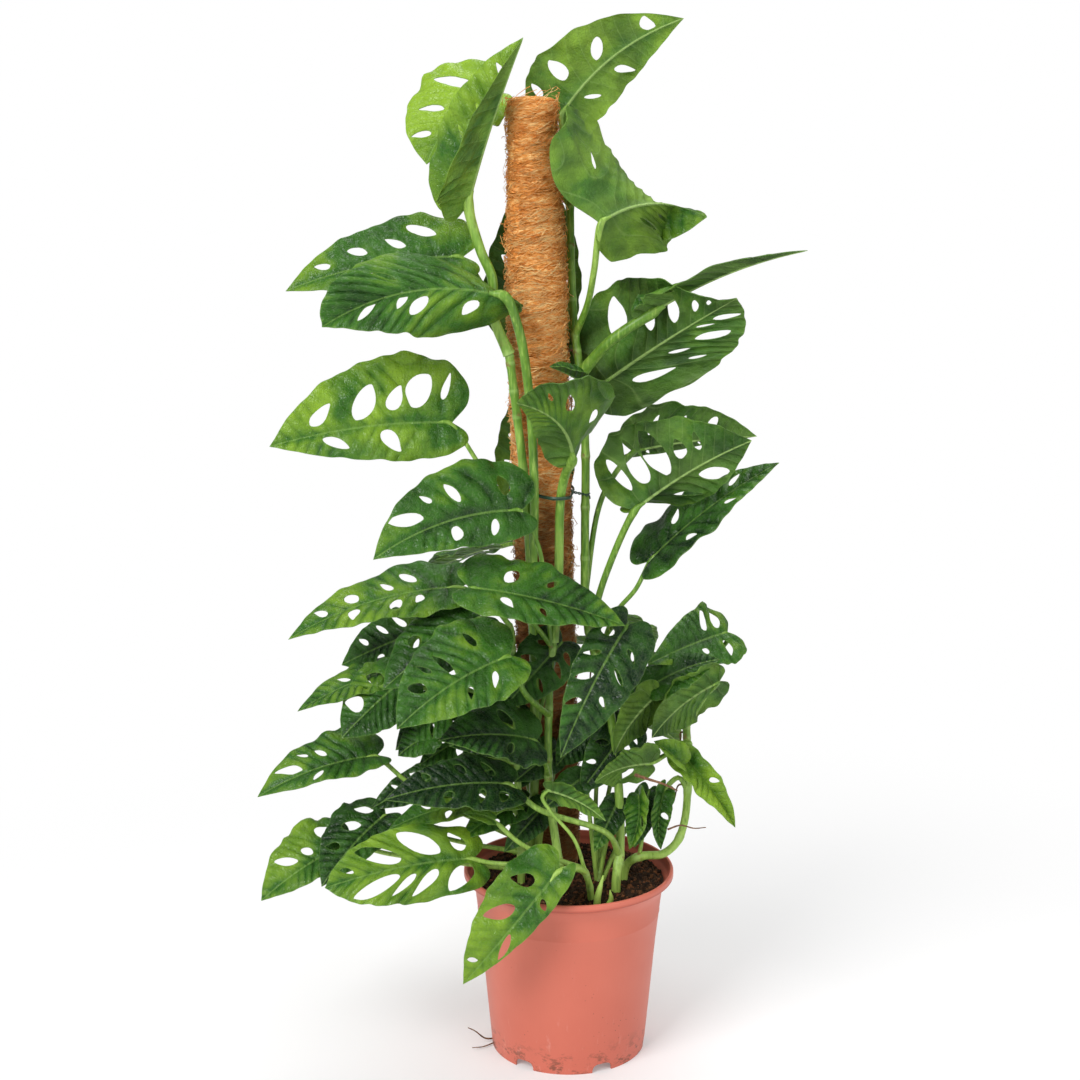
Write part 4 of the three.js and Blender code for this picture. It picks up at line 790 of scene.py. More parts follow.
def build_leafy_stem(stem, first_number, looks, materials):
    """One leafy stem with its petioles, blades and roots, in place of its plain solid."""
    mesh = PieceMesh()
    path = add_stem(mesh, stem)
    add_roots(mesh, stem, path, np.random.default_rng(first_number + 3))
    for k, leaf in enumerate(stem["leaves"]):
        # the petiole takes part of its leaf's shade value, with its painted light and shade
        add_petiole(mesh, leaf, path, 0.1 + 0.5 * leaf["shade"])
        add_blade(mesh, leaf, first_number + k, looks)
    piece = mesh.build("leaves_" + stem["name"].replace("stem_", ""), materials)
    settle(piece, "leaf", *([] if stem.get("alone") else [stem["name"]]))


def settle(piece, slot, *nodes):
    """Lets a piece ride on the plant and stand for its plain solids, which it hides. The slot is not used."""
    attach(piece, "root")
    if nodes:
        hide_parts(*nodes)


# Materials


class NodeTree:
    """Short calls that add nodes to a tree and join them."""

    def __init__(self, tree):
        self.nodes = tree.nodes
        self.links = tree.links

    def put(self, node, key, value):
        """Sets an input to a number, or joins it to another node's output."""
        if isinstance(value, bpy.types.NodeSocket):
            self.links.new(value, node.inputs[key])
        else:
            node.inputs[key].default_value = value

    def node(self, kind, settings=None, **inputs):
        """Adds a node. Inputs go by their sockets' names, with _ for a space, or by number after _."""
        node = self.nodes.new(kind)
        for key, value in (settings or {}).items():
            setattr(node, key, value)
        for key, value in inputs.items():
            self.put(node, int(key[1:]) if key[0] == "_" else key.replace("_", " "), value)
        return node

    def math(self, operation, first, second=0.0, third=0.0):
        """What an operation makes of one, two or three values."""
        settings = {"operation": operation}
        return self.node("ShaderNodeMath", settings, _0=first, _1=second, _2=third).outputs[0]

    def plus(self, first, second):
        """The sum of two values."""
        return self.math("ADD", first, second)

    def times(self, first, second):
        """The product of two values."""
        return self.math("MULTIPLY", first, second)


class Finish(NodeTree):
    """A material, with short calls for what its surface is made of."""

    def __init__(self, name):
        self.material = bpy.data.materials.new(name)
        self.material.use_nodes = True
        super().__init__(self.material.node_tree)
        self.nodes.clear()
        self.shader = self.node("ShaderNodeBsdfPrincipled")
        self.output = self.node("ShaderNodeOutputMaterial", Surface=self.shader.outputs[0])

    def place(self):
        """Object coordinates, in metres."""
        return self.node("ShaderNodeTexCoord").outputs["Object"]

    def height(self, place):
        """How high a place is above the ground."""
        return self.node("ShaderNodeSeparateXYZ", _0=place).outputs["Z"]

    def painted(self, name, output="Fac"):
        """A value painted on the mesh's points."""
        return self.node("ShaderNodeAttribute", {"attribute_name": name}).outputs[output]

    def stretched(self, vector, scale):
        """A vector scaled apart along its axes."""
        return self.node("ShaderNodeMapping", Vector=vector, Scale=scale).outputs[0]

    def turned(self, vector, turn):
        """A vector turned by one angle about X and about Y, so level streaks lean."""
        return self.node("ShaderNodeMapping", Vector=vector, Rotation=(turn, -turn, 0)).outputs[0]

    def noise(self, vector, scale, detail=3.0, roughness=0.55):
        """Clouds or grain from 0 to 1, finer at a larger scale."""
        return self.node("ShaderNodeTexNoise", Vector=vector, Scale=scale, Detail=detail,
                         Roughness=roughness).outputs["Fac"]

    def cells(self, vector, scale, feature="DISTANCE_TO_EDGE"):
        """How far a place is from the edges, or with F1 from the middles, of scattered cells."""
        return self.node("ShaderNodeTexVoronoi", {"feature": feature}, Vector=vector,
                         Scale=scale).outputs["Distance"]

    def spread(self, value, low, high, to_low=0.0, to_high=1.0):
        """Turns low..high into to_low..to_high, smoothly and never beyond."""
        return self.node("ShaderNodeMapRange", {"interpolation_type": "SMOOTHSTEP"}, Value=value,
                         _1=low, _2=high, _3=to_low, _4=to_high).outputs["Result"]

    def mix(self, share, first, second):
        """Mixes two colours by a share."""
        first, second = (value if isinstance(value, bpy.types.NodeSocket) else (*value[:3], 1.0)
                         for value in (first, second))
        return self.node("ShaderNodeMix", {"data_type": "RGBA"}, _0=share, _6=first, _7=second).outputs[2]

    def tones(self, value, stops):
        """A colour that runs through stops as a value goes from 0 to 1."""
        node = self.node("ShaderNodeValToRGB", Fac=value)
        bar = node.color_ramp.elements
        while len(bar) < len(stops):
            bar.new(0.5)
        for element, (position, tint) in zip(bar, stops):
            element.position = position
            element.color = (*tint[:3], 1.0)
        return node.outputs["Color"]

    def bumps(self, height, strength, depth, under=None):
        """A normal that shows a height, on top of another one."""
        node = self.node("ShaderNodeBump", Height=height, Strength=strength, Distance=depth)
        if under is not None:
            self.put(node, "Normal", under)
        return node.outputs[0]

    def surface(self, tint, roughness, normal, specular=0.5):
        """Gives the shader its colour, roughness and normal, and returns the material."""
        self.put(self.shader, "Base Color", tint)
        self.put(self.shader, "Roughness", roughness)
        self.put(self.shader, "Normal", normal)
        self.shader.inputs["Specular IOR Level"].default_value = specular
        return self.material

    def mix_in(self, share, other):
        """Mixes another shader into the surface by a share."""
        both = self.node("ShaderNodeMixShader", _0=share, _1=self.shader.outputs[0], _2=other.outputs[0])
        self.put(self.output, "Surface", both.outputs[0])


def leaf_finish(looks):
    """Glossy green blades, puckered between sunken veins, with pale midribs and duller undersides, and
    painted shade in the vein creases and beside the midrib.
    """
    f = Finish("monstera_leaf")
    chart = f.painted("chart", "Vector")
    under = f.painted("under")
    phase = f.math("FRACT", f.painted("vein"))
    to_vein = f.math("ABSOLUTE", f.math("SUBTRACT", phase, 0.5))
    vein = f.spread(to_vein, 0.45, 0.495)
    midrib = f.spread(f.painted("midrib"), 1.05, 0.45)
    edge = f.spread(f.painted("edge"), 0.9, 0.1)
    net = f.spread(f.cells(f.stretched(chart, (1, 1.3, 1)), 300), 0.0, 0.12)
    mottle = f.noise(chart, 60, 4, 0.6)
    pucker = f.noise(f.stretched(chart, (1.6, 0.8, 1)), 85, 3, 0.5)
    cloud = f.noise(f.place(), 17, 2)
    fine = f.noise(chart, 900, 2)

    # painted light and shade: each leaf's shade value, partly its own green, lightens or darkens the whole
    # blade
    tone = f.math("MULTIPLY_ADD", f.painted("shade"), 0.34, 0.42)
    tone = f.plus(tone, f.spread(mottle, 0.3, 0.7, -0.1, 0.1))
    tone = f.plus(tone, f.spread(cloud, 0.3, 0.7, -0.23, 0.2))
    # how much the vein creases show, both as bump depth and as painted shade
    crease_depth_and_shade = f.spread(f.noise(chart, 19, 2), 0.36, 0.62, 0.15, 1.0)
    crease_depth_and_shade = f.times(crease_depth_and_shade, f.spread(f.painted("shade"), 0.2, 1.0, 1.0, 0.35))
    # painted shade: darker along the sunken side veins, lighter on the raised panels between them
    tone = f.math("SUBTRACT", tone, f.times(crease_depth_and_shade, f.spread(to_vein, 0.1, 0.5, -0.06, 0.11)))
    # painted shade: darker in the sunken groove beside the midrib
    tone = f.math("SUBTRACT", tone, f.spread(f.painted("midrib"), 7.0, 1.2, 0, 0.12))
    tone = f.plus(tone, f.spread(f.painted("edge"), 9.0, 0.5, 0, 0.08))
    blade = f.tones(tone, ((0.0, looks.deep_green), (0.45, looks.leaf_green), (1.0, looks.fresh_green)))
    # painted shade: the vein creases mixed towards the deep green
    blade = f.mix(f.times(crease_depth_and_shade, f.spread(to_vein, 0.41, 0.5, 0, 0.28)), blade, looks.deep_green)
    blade = f.mix(f.times(f.math("SUBTRACT", 1.0, net), 0.1), blade, looks.vein_green)
    lines = f.math("MAXIMUM", f.times(midrib, 0.5), f.times(edge, 0.35))
    blade = f.mix(lines, blade, looks.vein_green)
    back = f.mix(f.spread(f.noise(chart, 30, 3), 0.34, 0.64, 0.12, 0.5), blade, looks.underside_green)
    back = f.mix(f.spread(f.noise(f.place(), 26, 3), 0.56, 0.36, 0.0, 0.42), back, looks.deep_green)
    ribs = f.math("MAXIMUM", f.times(vein, 0.18), f.times(midrib, 0.8))
    back = f.mix(ribs, back, looks.rib_green)
    tint = f.mix(under, blade, back)

    crease = f.math("POWER", f.times(to_vein, 2.0), 3.0)
    crease = f.times(crease, f.spread(under, 0, 1, -0.7, 0.9))
    relief = f.plus(f.times(pucker, 1.9), f.times(crease, crease_depth_and_shade))
    relief = f.plus(relief, f.times(net, 0.14))
    normal = f.bumps(relief, 0.85, 0.002, f.bumps(fine, 0.08, 0.0002))
    glow = f.mix(0.4, tint, looks.glow_green)
    f.mix_in(0.18, f.node("ShaderNodeBsdfTranslucent", Color=glow, Normal=normal))
    roughness = f.plus(f.spread(under, 0, 1, 0.3, 0.5), f.spread(mottle, 0.3, 0.7, -0.05, 0.08))
    return f.surface(tint, roughness, normal, 0.3)


def stem_finish(looks):
    """Smooth green stems and petioles with fine streaks, and pale rings with brown scars at nodes."""
    f = Finish("monstera_stem")
    place = f.place()
    node = f.painted("node")
    streaks = f.noise(f.stretched(place, (1, 1, 0.12)), 420, 3)
    cloud = f.noise(place, 34, 3)
    low = f.spread(f.height(place), 0.36, 0.14)
    tone = f.spread(f.painted("shade"), -1, 1, 0.1, 0.75)
    tone = f.plus(tone, f.spread(cloud, 0.3, 0.7, -0.15, 0.15))
    green = f.tones(tone, ((0.0, looks.stem_deep), (0.55, looks.stem_green), (1.0, looks.stem_pale)))
    green = f.mix(f.times(low, 0.6), green, looks.stem_pale)
    green = f.mix(f.spread(streaks, 0.5, 0.72, 0, 0.5), green, looks.stem_pale)
    green = f.mix(f.spread(streaks, 0.48, 0.28, 0, 0.5), green, looks.stem_deep)
    green = f.mix(f.times(f.spread(node, 0.5, 1.0), 0.5), green, looks.rib_green)
    scar = f.spread(f.noise(place, 130, 3), 0.56, 0.66)
    scar = f.times(scar, f.spread(node, 0.1, 0.8, 0.08, 0.75))
    return f.surface(f.mix(scar, green, looks.scar_brown), f.spread(cloud, 0.3, 0.7, 0.34, 0.5),
                     f.bumps(streaks, 0.35, 0.0006, f.bumps(cloud, 0.3, 0.002)), 0.4)


def root_finish():
    """Dry brown roots and twigs."""
    f = Finish("dry_root")
    grain = f.noise(f.stretched(f.place(), (1, 1, 0.3)), 500, 4)
    browns = f.tones(grain, ((0.25, (0.045, 0.018, 0.007)), (0.55, (0.17, 0.075, 0.03)),
                             (0.85, (0.42, 0.26, 0.13))))
    return f.surface(browns, f.spread(grain, 0.3, 0.7, 0.6, 0.85), f.bumps(grain, 0.6, 0.0006))


def coir_finish(looks, name, deep):
    """Coir: every fibre its own shade of orange brown, darker low on the pole, with painted shade in the
    sleeve's grooves between windings.
    """
    f = Finish(name)
    place = f.place()
    own = f.painted("strand")
    rising, falling = (f.noise(f.stretched(f.turned(place, lean), (1, 1, 7)), 170, 5, 0.68)
                       for lean in (0.22, -0.3))
    hair = f.spread(f.math("MAXIMUM", rising, falling), 0.42, 0.62)
    patches = f.noise(place, 21, 3)
    tone = f.plus(f.times(own, 0.5), f.times(hair, 0.36 + deep))
    tone = f.plus(tone, f.spread(patches, 0.3, 0.7, 0.0, 0.22))
    # painted shade: the sleeve darker in its grooves between windings, where node is high
    tone = f.math("SUBTRACT", tone, f.times(f.painted("node"), 0.4))
    browns = f.tones(tone, ((0.05, looks.coir_dark), (0.45, looks.coir_brown), (0.88, looks.coir_light)))
    # darker towards the bottom of the pole
    lowness = f.plus(f.height(place), f.spread(patches, 0.3, 0.7, -0.07, 0.07))
    browns = f.mix(f.spread(lowness, 0.58, 0.4, 0, 0.75), browns, looks.coir_low)
    normal = f.bumps(hair, 0.7, 0.0006 + 0.002 * deep)
    return f.surface(browns, f.spread(hair, 0.3, 0.7, 0.7, 0.92), normal, 0.15)


def soil_finish(looks):
    """Potting soil: dark peat with reddish coir bits and a few pale grains."""
    f = Finish("potting_soil")
    place = f.place()
    lumps = f.noise(place, 190, 5, 0.7)
    grain = f.painted("grain")
    tone = f.plus(f.times(grain, 0.6), f.times(lumps, 0.5))
    browns = f.tones(tone, ((0.2, looks.soil_dark), (0.62, looks.soil_brown), (0.88, looks.soil_red),
                            (0.98, looks.soil_pale)))
    return f.surface(browns, f.spread(lumps, 0.3, 0.7, 0.75, 0.98), f.bumps(lumps, 1.0, 0.0015), 0.2)


def pot_finish(looks):
    """Satin terracotta-coloured plastic, with scuffs and soil marks low down and a painted shadow under the
    lip.
    """
    f = Finish("pot_plastic")
    place = f.place()
    height = f.height(place)
    cloud = f.noise(place, 9, 3)
    grain = f.noise(place, 900, 2)
    scratch = f.noise(f.stretched(place, (1, 1, 0.3)), 150, 5, 0.7)
    speck = f.cells(place, 170, "F1")
    tint = f.mix(f.spread(cloud, 0.35, 0.65), looks.pot_colour, looks.pot_shade)
    rubbed = f.times(f.spread(scratch, 0.58, 0.72), f.spread(height, 0.075, 0.0, 0.08, 0.8))
    tint = f.mix(f.times(rubbed, 0.3), tint, looks.pot_scuff)
    soiled = f.spread(f.noise(f.stretched(place, (1, 1, 1.8)), 62, 5, 0.75), 0.5, 0.62)
    soiled = f.times(soiled, f.spread(height, 0.034, 0.004, 0.0, 0.8))
    dots = f.times(f.spread(speck, 0.11, 0.05), f.spread(f.noise(place, 17, 2), 0.48, 0.6))
    dots = f.times(dots, f.spread(height, 0.15, 0.0, 0.15, 0.9))
    tint = f.mix(f.math("MAXIMUM", soiled, dots), tint, looks.pot_dirt)
    # painted shadow: a darker, redder band under the rolled lip
    lip = f.times(f.spread(height, 0.1605, 0.1632), f.spread(height, 0.1668, 0.1640))
    tint = f.mix(f.times(lip, 0.6), tint, looks.pot_lip_shadow)
    roughness = f.plus(f.spread(cloud, 0.3, 0.7, 0.4, 0.5), f.times(rubbed, 0.2))
    return f.surface(tint, roughness, f.bumps(grain, 0.12, 0.0003, f.bumps(scratch, 0.12, 0.0006)), 0.4)


def stake_finish():
    """Pale wood with long grain, hidden in the coir but for its foot in the soil."""
    f = Finish("stake_wood")
    grain = f.noise(f.stretched(f.place(), (1, 1, 0.04)), 160, 4, 0.65)
    browns = f.tones(grain, ((0.3, (0.19, 0.09, 0.035)), (0.6, (0.42, 0.25, 0.12)), (0.8, (0.6, 0.4, 0.22))))
    return f.surface(browns, f.spread(grain, 0.3, 0.7, 0.6, 0.8), f.bumps(grain, 0.5, 0.0008))


def tie_finish():
    """Dark green plastic strip with a faint rib."""
    f = Finish("plant_tie")
    rub = f.noise(f.place(), 300, 3)
    greens = f.tones(rub, ((0.3, (0.008, 0.03, 0.016)), (0.7, (0.03, 0.085, 0.045))))
    return f.surface(greens, f.spread(rub, 0.3, 0.7, 0.35, 0.55), f.bumps(rub, 0.3, 0.0003))


def floor_finish(looks):
    """A plain pale floor that fades into the background far from the plant."""
    f = Finish("studio_floor")
    away = f.node("ShaderNodeVectorMath", {"operation": "LENGTH"}, _0=f.place()).outputs["Value"]
    f.put(f.shader, "Base Color", (*looks.floor_colour, 1))
    f.put(f.shader, "Roughness", 0.9)
    f.put(f.shader, "Specular IOR Level", 0.1)
    light = f.node("ShaderNodeEmission", Color=(1, 1, 1, 1))
    f.mix_in(f.spread(away, 0.12, 1.0, 0.2, 1.0), light)
    return f.material


# What repeats: coir strands and soil crumbs, made by Geometry Nodes


class Growth(NodeTree):
    """A Geometry Nodes tree, with short calls for what it scatters."""

    def __init__(self, name):
        self.tree = bpy.data.node_groups.new(name, "GeometryNodeTree")
        super().__init__(self.tree)
        self.keys = {}
        for way in ("INPUT", "OUTPUT"):
            self.tree.interface.new_socket("Geometry", in_out=way, socket_type="NodeSocketGeometry")
        self.start = self.nodes.new("NodeGroupInput")
        self.end = self.nodes.new("NodeGroupOutput")

    def size(self, name, value, kind="Float"):
        """Adds a named input of the tree and returns its socket."""
        item = self.tree.interface.new_socket(name, in_out="INPUT", socket_type=f"NodeSocket{kind}")
        if value is not None:
            item.default_value = value
        self.keys[name] = item.identifier
        return self.start.outputs[name]

    def random(self, low, high, seed, step):
        """A number between two others, which stays the same for each point. The step sets it apart."""
        place = self.plus(seed, float(step))
        return self.node("FunctionNodeRandomValue", {"data_type": "FLOAT"}, _2=low, _3=high,
                         Seed=place).outputs[1]

    def combine(self, x, y, z):
        """A vector of three numbers."""
        return self.node("ShaderNodeCombineXYZ", X=x, Y=y, Z=z).outputs[0]

    def instances(self, points, instance, turn, scale):
        """Sets a copy of a shape on each point, turned and scaled."""
        euler = self.node("FunctionNodeEulerToRotation", Euler=turn).outputs[0]
        return self.node("GeometryNodeInstanceOnPoints", Points=points, Instance=instance,
                         Rotation=euler, Scale=scale).outputs[0]

    def finish(self, geometry, value_name, value, wobble, detail, material):
        """Paints a value on each instance, makes them real, bends them a little and ends the tree."""
        painted = self.node("GeometryNodeStoreNamedAttribute", {"data_type": "FLOAT", "domain": "INSTANCE"},
                            Geometry=geometry, Name=value_name, Value=value)
        real = self.node("GeometryNodeRealizeInstances", Geometry=painted.outputs[0])
        place = self.node("GeometryNodeInputPosition").outputs[0]
        noise = self.node("ShaderNodeTexNoise", Vector=place, Scale=detail, Detail=1.0)
        shift = self.node("ShaderNodeVectorMath", {"operation": "SUBTRACT"}, _0=noise.outputs["Color"],
                          _1=(0.5, 0.5, 0.5)).outputs[0]
        shift = self.node("ShaderNodeVectorMath", {"operation": "SCALE"}, _0=shift, Scale=wobble).outputs[0]
        moved = self.node("GeometryNodeSetPosition", Geometry=real.outputs[0], Offset=shift)
        done = self.node("GeometryNodeSetMaterial", Geometry=moved.outputs[0], Material=material)
        self.put(self.end, 0, done.outputs[0])

    def grow(self, name, base, values):
        """Runs the tree on a mesh with these sizes and returns the plain object that comes of it."""
        seed = bpy.data.objects.new(name + "_seed", base)
        bpy.context.scene.collection.objects.link(seed)
        modifier = seed.modifiers.new("growth", "NODES")
        modifier.node_group = self.tree
        for key, value in values.items():
            modifier[self.keys[key]] = value
        mesh = shaped_mesh(seed, name)
        bpy.data.objects.remove(seed)
        piece = bpy.data.objects.new(name, mesh)
        bpy.context.scene.collection.objects.link(piece)
        return piece


def shaped_mesh(piece, name):
    """A plain mesh of what an object's modifiers make of it."""
    bpy.context.view_layer.update()
    mesh = bpy.data.meshes.new_from_object(piece.evaluated_get(bpy.context.evaluated_depsgraph_get()))
    mesh.name = name
    return mesh


def coir_growth():
    """Strands that lie round a leaning pole in slanted windings."""
    g = Growth("coir_strands")
    count = g.size("Count", 4000, "Int")
    loose = g.size("Tilt", 0.2)
    thickness = g.size("Thickness", 0.0003)
    radius = g.size("Radius", POLE_RADIUS * MM)
    proud = g.size("Proud", 0.03)
    pitch = g.size("Pitch", 0.0125)
    sweep = g.size("Sweep", 1.0)
    seed = g.size("Seed", 1, "Int")
    wobble = g.size("Wobble", 0.0015)
    curl = g.size("Curl", 260.0)
    material = g.size("Material", None, "Material")
    foot, top = ([float(x) * MM for x in end] for end in (POLE_FOOT, POLE_TOP))
    tall = top[2] - foot[2]

    spin = g.random(0.0, 2 * math.pi, seed, 1)
    bands = g.math("DIVIDE", tall - 0.012, pitch)
    band = g.math("FLOOR", g.times(g.random(0.0, 1.0, seed, 2), bands))
    within = g.times(g.random(-0.55, 0.55, seed, 3), g.random(0.7, 1.0, seed, 4))
    turned = g.math("DIVIDE", spin, 2 * math.pi)
    rise = g.plus(g.plus(band, within), g.plus(turned, 0.1))
    height = g.plus(g.times(rise, pitch), foot[2])
    height = g.math("MAXIMUM", g.math("MINIMUM", height, top[2] - 0.004), foot[2] + 0.004)
    share = g.math("DIVIDE", g.math("SUBTRACT", height, foot[2]), tall)
    across = [g.plus(g.times(share, high - low), low) for low, high in zip(foot[:2], top[:2])]
    points = g.node("GeometryNodePoints", Count=count, Position=g.combine(*across, height)).outputs[0]

    arc = g.node("GeometryNodeCurveArc", {"mode": "RADIUS"}, Resolution=4, Radius=radius, Sweep_Angle=sweep)
    ring = g.node("GeometryNodeCurvePrimitiveCircle", {"mode": "RADIUS"}, Resolution=3, Radius=thickness)
    strand = g.node("GeometryNodeCurveToMesh", Curve=arc.outputs[0], Profile_Curve=ring.outputs[0],
                    Fill_Caps=True).outputs[0]
    tilt = g.plus(g.times(g.random(-1.0, 1.0, seed, 5), loose), WINDING_LEAN)
    turn = g.combine(tilt, g.times(g.random(-0.35, 0.35, seed, 6), loose), spin)
    taper = g.node("ShaderNodeMapRange", {"interpolation_type": "SMOOTHSTEP"}, Value=height,
                   _1=(POLE_NARROWS_AT - POLE_NARROWING) * MM, _2=(POLE_NARROWS_AT + POLE_NARROWING) * MM,
                   _3=1.0, _4=POLE_TOP_RADIUS / POLE_RADIUS).outputs[0]
    stand = g.plus(0.985, g.times(g.random(-0.6, 1.0, seed, 7), proud))
    size = g.times(taper, stand)
    made = g.instances(points, strand, turn, g.combine(size, size, size))
    g.finish(made, "strand", g.random(0.0, 1.0, seed, 8), wobble, curl, material)
    return g


def crumb_growth():
    """Crumbs of soil scattered over a surface, each turned and sized by chance."""
    g = Growth("soil_crumbs")
    density = g.size("Density", 100000.0)
    smallest = g.size("Smallest", 0.0005)
    largest = g.size("Largest", 0.002)
    seed = g.size("Seed", 4, "Int")
    wobble = g.size("Wobble", 0.0012)
    material = g.size("Material", None, "Material")
    spots = g.node("GeometryNodeDistributePointsOnFaces", {"distribute_method": "RANDOM"},
                   Mesh=g.start.outputs["Geometry"], Density=density, Seed=seed).outputs[0]
    crumb = g.node("GeometryNodeMeshIcoSphere", Radius=1.0, Subdivisions=1).outputs[0]
    turn = g.combine(*(g.random(0.0, 6.28, seed, step) for step in (1, 2, 3)))
    chance = g.math("POWER", g.random(0.0, 1.0, seed, 4), 2.6)
    size = g.plus(smallest, g.times(chance, g.math("SUBTRACT", largest, smallest)))
    width = g.times(size, g.random(0.5, 1.0, seed, 5))
    height = g.times(size, g.random(0.45, 0.9, seed, 6))
    made = g.instances(spots, crumb, turn, g.combine(size, width, height))
    g.finish(made, "grain", g.random(0.0, 1.0, seed, 7), wobble, 500.0, material)
    return g


# Pieces


def paint(piece, name, seed, most):
    """Paints a value on each point of a piece by chance, from 0 to the most."""
    layer = piece.data.attributes.new(name, "FLOAT", "POINT")
    layer.data.foreach_set("value", np.random.default_rng(seed).random(len(piece.data.vertices)) * most)


def soil_height(x, y):
    """The lumpy top of the soil, a little higher in the middle."""
    away = np.hypot(x, y) / RIM_RADIUS
    lumps = np.sin(x * 0.16 + 1) * np.cos(y * 0.13) + 0.6 * np.sin(x * 0.31 - y * 0.27)
    fine = 0.5 * np.sin(x * 0.83 + y * 0.6) * np.cos(y * 0.71 - x * 0.2)
    return SOIL_LEVEL + SOIL_MOUND * (1 - away**2) + (lumps + fine) * (1 - away * 0.6)


def soil_top(rings, sides, edge):
    """Points and faces of the open top of the soil."""
    ring, _ = circle(sides)
    points = [[0, 0, float(soil_height(0.0, 0.0))]]
    for k in range(1, rings + 1):
        x, y = (ring * (edge * k / rings)).T
        points.extend(np.column_stack([x, y, soil_height(x, y)]).tolist())
    k = np.arange(sides)
    middle = np.stack([np.zeros(sides, int), 1 + k, 1 + (k + 1) % sides], 1)
    return np.array(points), middle, ring_faces(rings, sides)[:, TURNED_OVER] + 1


def build_soil(looks):
    """The body of the soil with its lumpy top, and crumbs and peat bits scattered on it."""
    material = soil_finish(looks)
    rings, sides = 40, 120
    points, middle, rows = soil_top(rings, sides, SOIL_EDGE)
    side_profile = [(radius - SOIL_GAP, height + SOIL_GAP) for radius, height in POT_INSIDE[2::-1]]
    ring, _ = circle(sides)
    walls = [np.column_stack([ring * radius, np.full(sides, height)]) for radius, height in side_profile]
    below = np.vstack([*walls, [[0, 0, side_profile[-1][1]]]])
    k = np.arange(sides)
    rim = 1 + (rings - 1) * sides
    skirt = ring_faces(len(walls) + 1, sides)[:, TURNED_OVER] + rim
    last = rim + len(walls) * sides
    floor = np.stack([np.full(sides, len(points) + len(below) - 1), last + (k + 1) % sides, last + k], 1)
    mesh = PieceMesh()
    mesh.add(np.vstack([points, below]), [middle, rows, skirt, floor])
    body = mesh.build("soil_body", [material])
    paint(body, "grain", 2, 0.5)
    settle(body, "soil", "soil")

    points, middle, rows = soil_top(12, 48, SOIL_EDGE - 1)
    top = bpy.data.meshes.new("soil_top")
    top.from_pydata((points * MM).tolist(), [], middle.tolist() + rows.tolist())
    area = math.pi * ((SOIL_EDGE - 1) * MM) ** 2
    crumbs = crumb_growth().grow("soil_crumbs", top, {
        "Density": looks.crumb_count / area, "Smallest": 0.0005, "Largest": looks.crumb_size, "Seed": 4,
        "Wobble": 0.0012, "Material": material})
    settle(crumbs, "soil")


def build_pot(looks):
    """The turned pot with its rolled lip and ring line, its foot cut into arches, and drain holes."""
    profile = [*POT_OUTSIDE, *reversed(POT_INSIDE), (BASE_DISC_RADIUS + 2 - WALL, FOOT_HEIGHT + WALL),
               (BASE_DISC_RADIUS - WALL, WALL), (0, WALL)]
    points, faces = revolved(profile, 180)
    mesh = PieceMesh()
    mesh.add(points, faces)
    piece = mesh.build("pot_body", [pot_finish(looks)])

    # The opening of an arch, with rounded shoulders, which goes on below the pot's foot
    cuts = PieceMesh()
    bow = np.linspace(0, np.pi, 18)
    across = 0.5 * ARCH_WIDTH * np.sign(np.cos(bow)) * np.abs(np.cos(bow)) ** 0.55
    outline = np.column_stack([across, ARCH_HEIGHT * np.abs(np.sin(bow)) ** 0.7])
    outline = np.vstack([outline, [(-0.5 * ARCH_WIDTH, -2), (0.5 * ARCH_WIDTH, -2)]])
    n = len(outline)
    k = np.arange(n)
    near, far = (np.column_stack([np.full(n, radius), outline]) for radius in ARCH_DEPTHS)
    walls = np.stack([(k + 1) % n, (k + 1) % n + n, k + n, k], 1)
    for count in range(ARCH_COUNT):
        turn = math.radians(FIRST_ARCH_ANGLE + 360 / ARCH_COUNT * count)
        cos, sin = math.cos(turn), math.sin(turn)
        spin = np.array([[cos, sin, 0], [-sin, cos, 0], [0, 0, 1]])
        cuts.add(np.vstack([near, far]) @ spin, [walls, k[None, ::-1], k[None] + n])
        hole, rims, _ = tube([(DRAIN_CIRCLE, 0, height) for height in DRAIN_DEPTHS], DRAIN_RADIUS, 24)
        cuts.add(hole @ spin, rims)
    cutter = cuts.build("pot_cuts", [])
    cut = piece.modifiers.new("cuts", "BOOLEAN")
    cut.operation = "DIFFERENCE"
    cut.solver = "EXACT"
    cut.object = cutter
    shaped = shaped_mesh(piece, "pot_shaped")
    piece.modifiers.remove(cut)
    piece.data = shaped
    shaped.name = "pot_body"
    shaped.set_sharp_from_angle(angle=math.radians(POT_SHARP_ANGLE))
    bpy.data.objects.remove(cutter)
    settle(piece, "pot", "pot")


def pole_centre(height):
    """The middle of the leaning pole at a height."""
    foot, top = np.array(POLE_FOOT, float), np.array(POLE_TOP, float)
    return foot + (np.asarray(height, float)[..., None] - foot[2]) / (top[2] - foot[2]) * (top - foot)


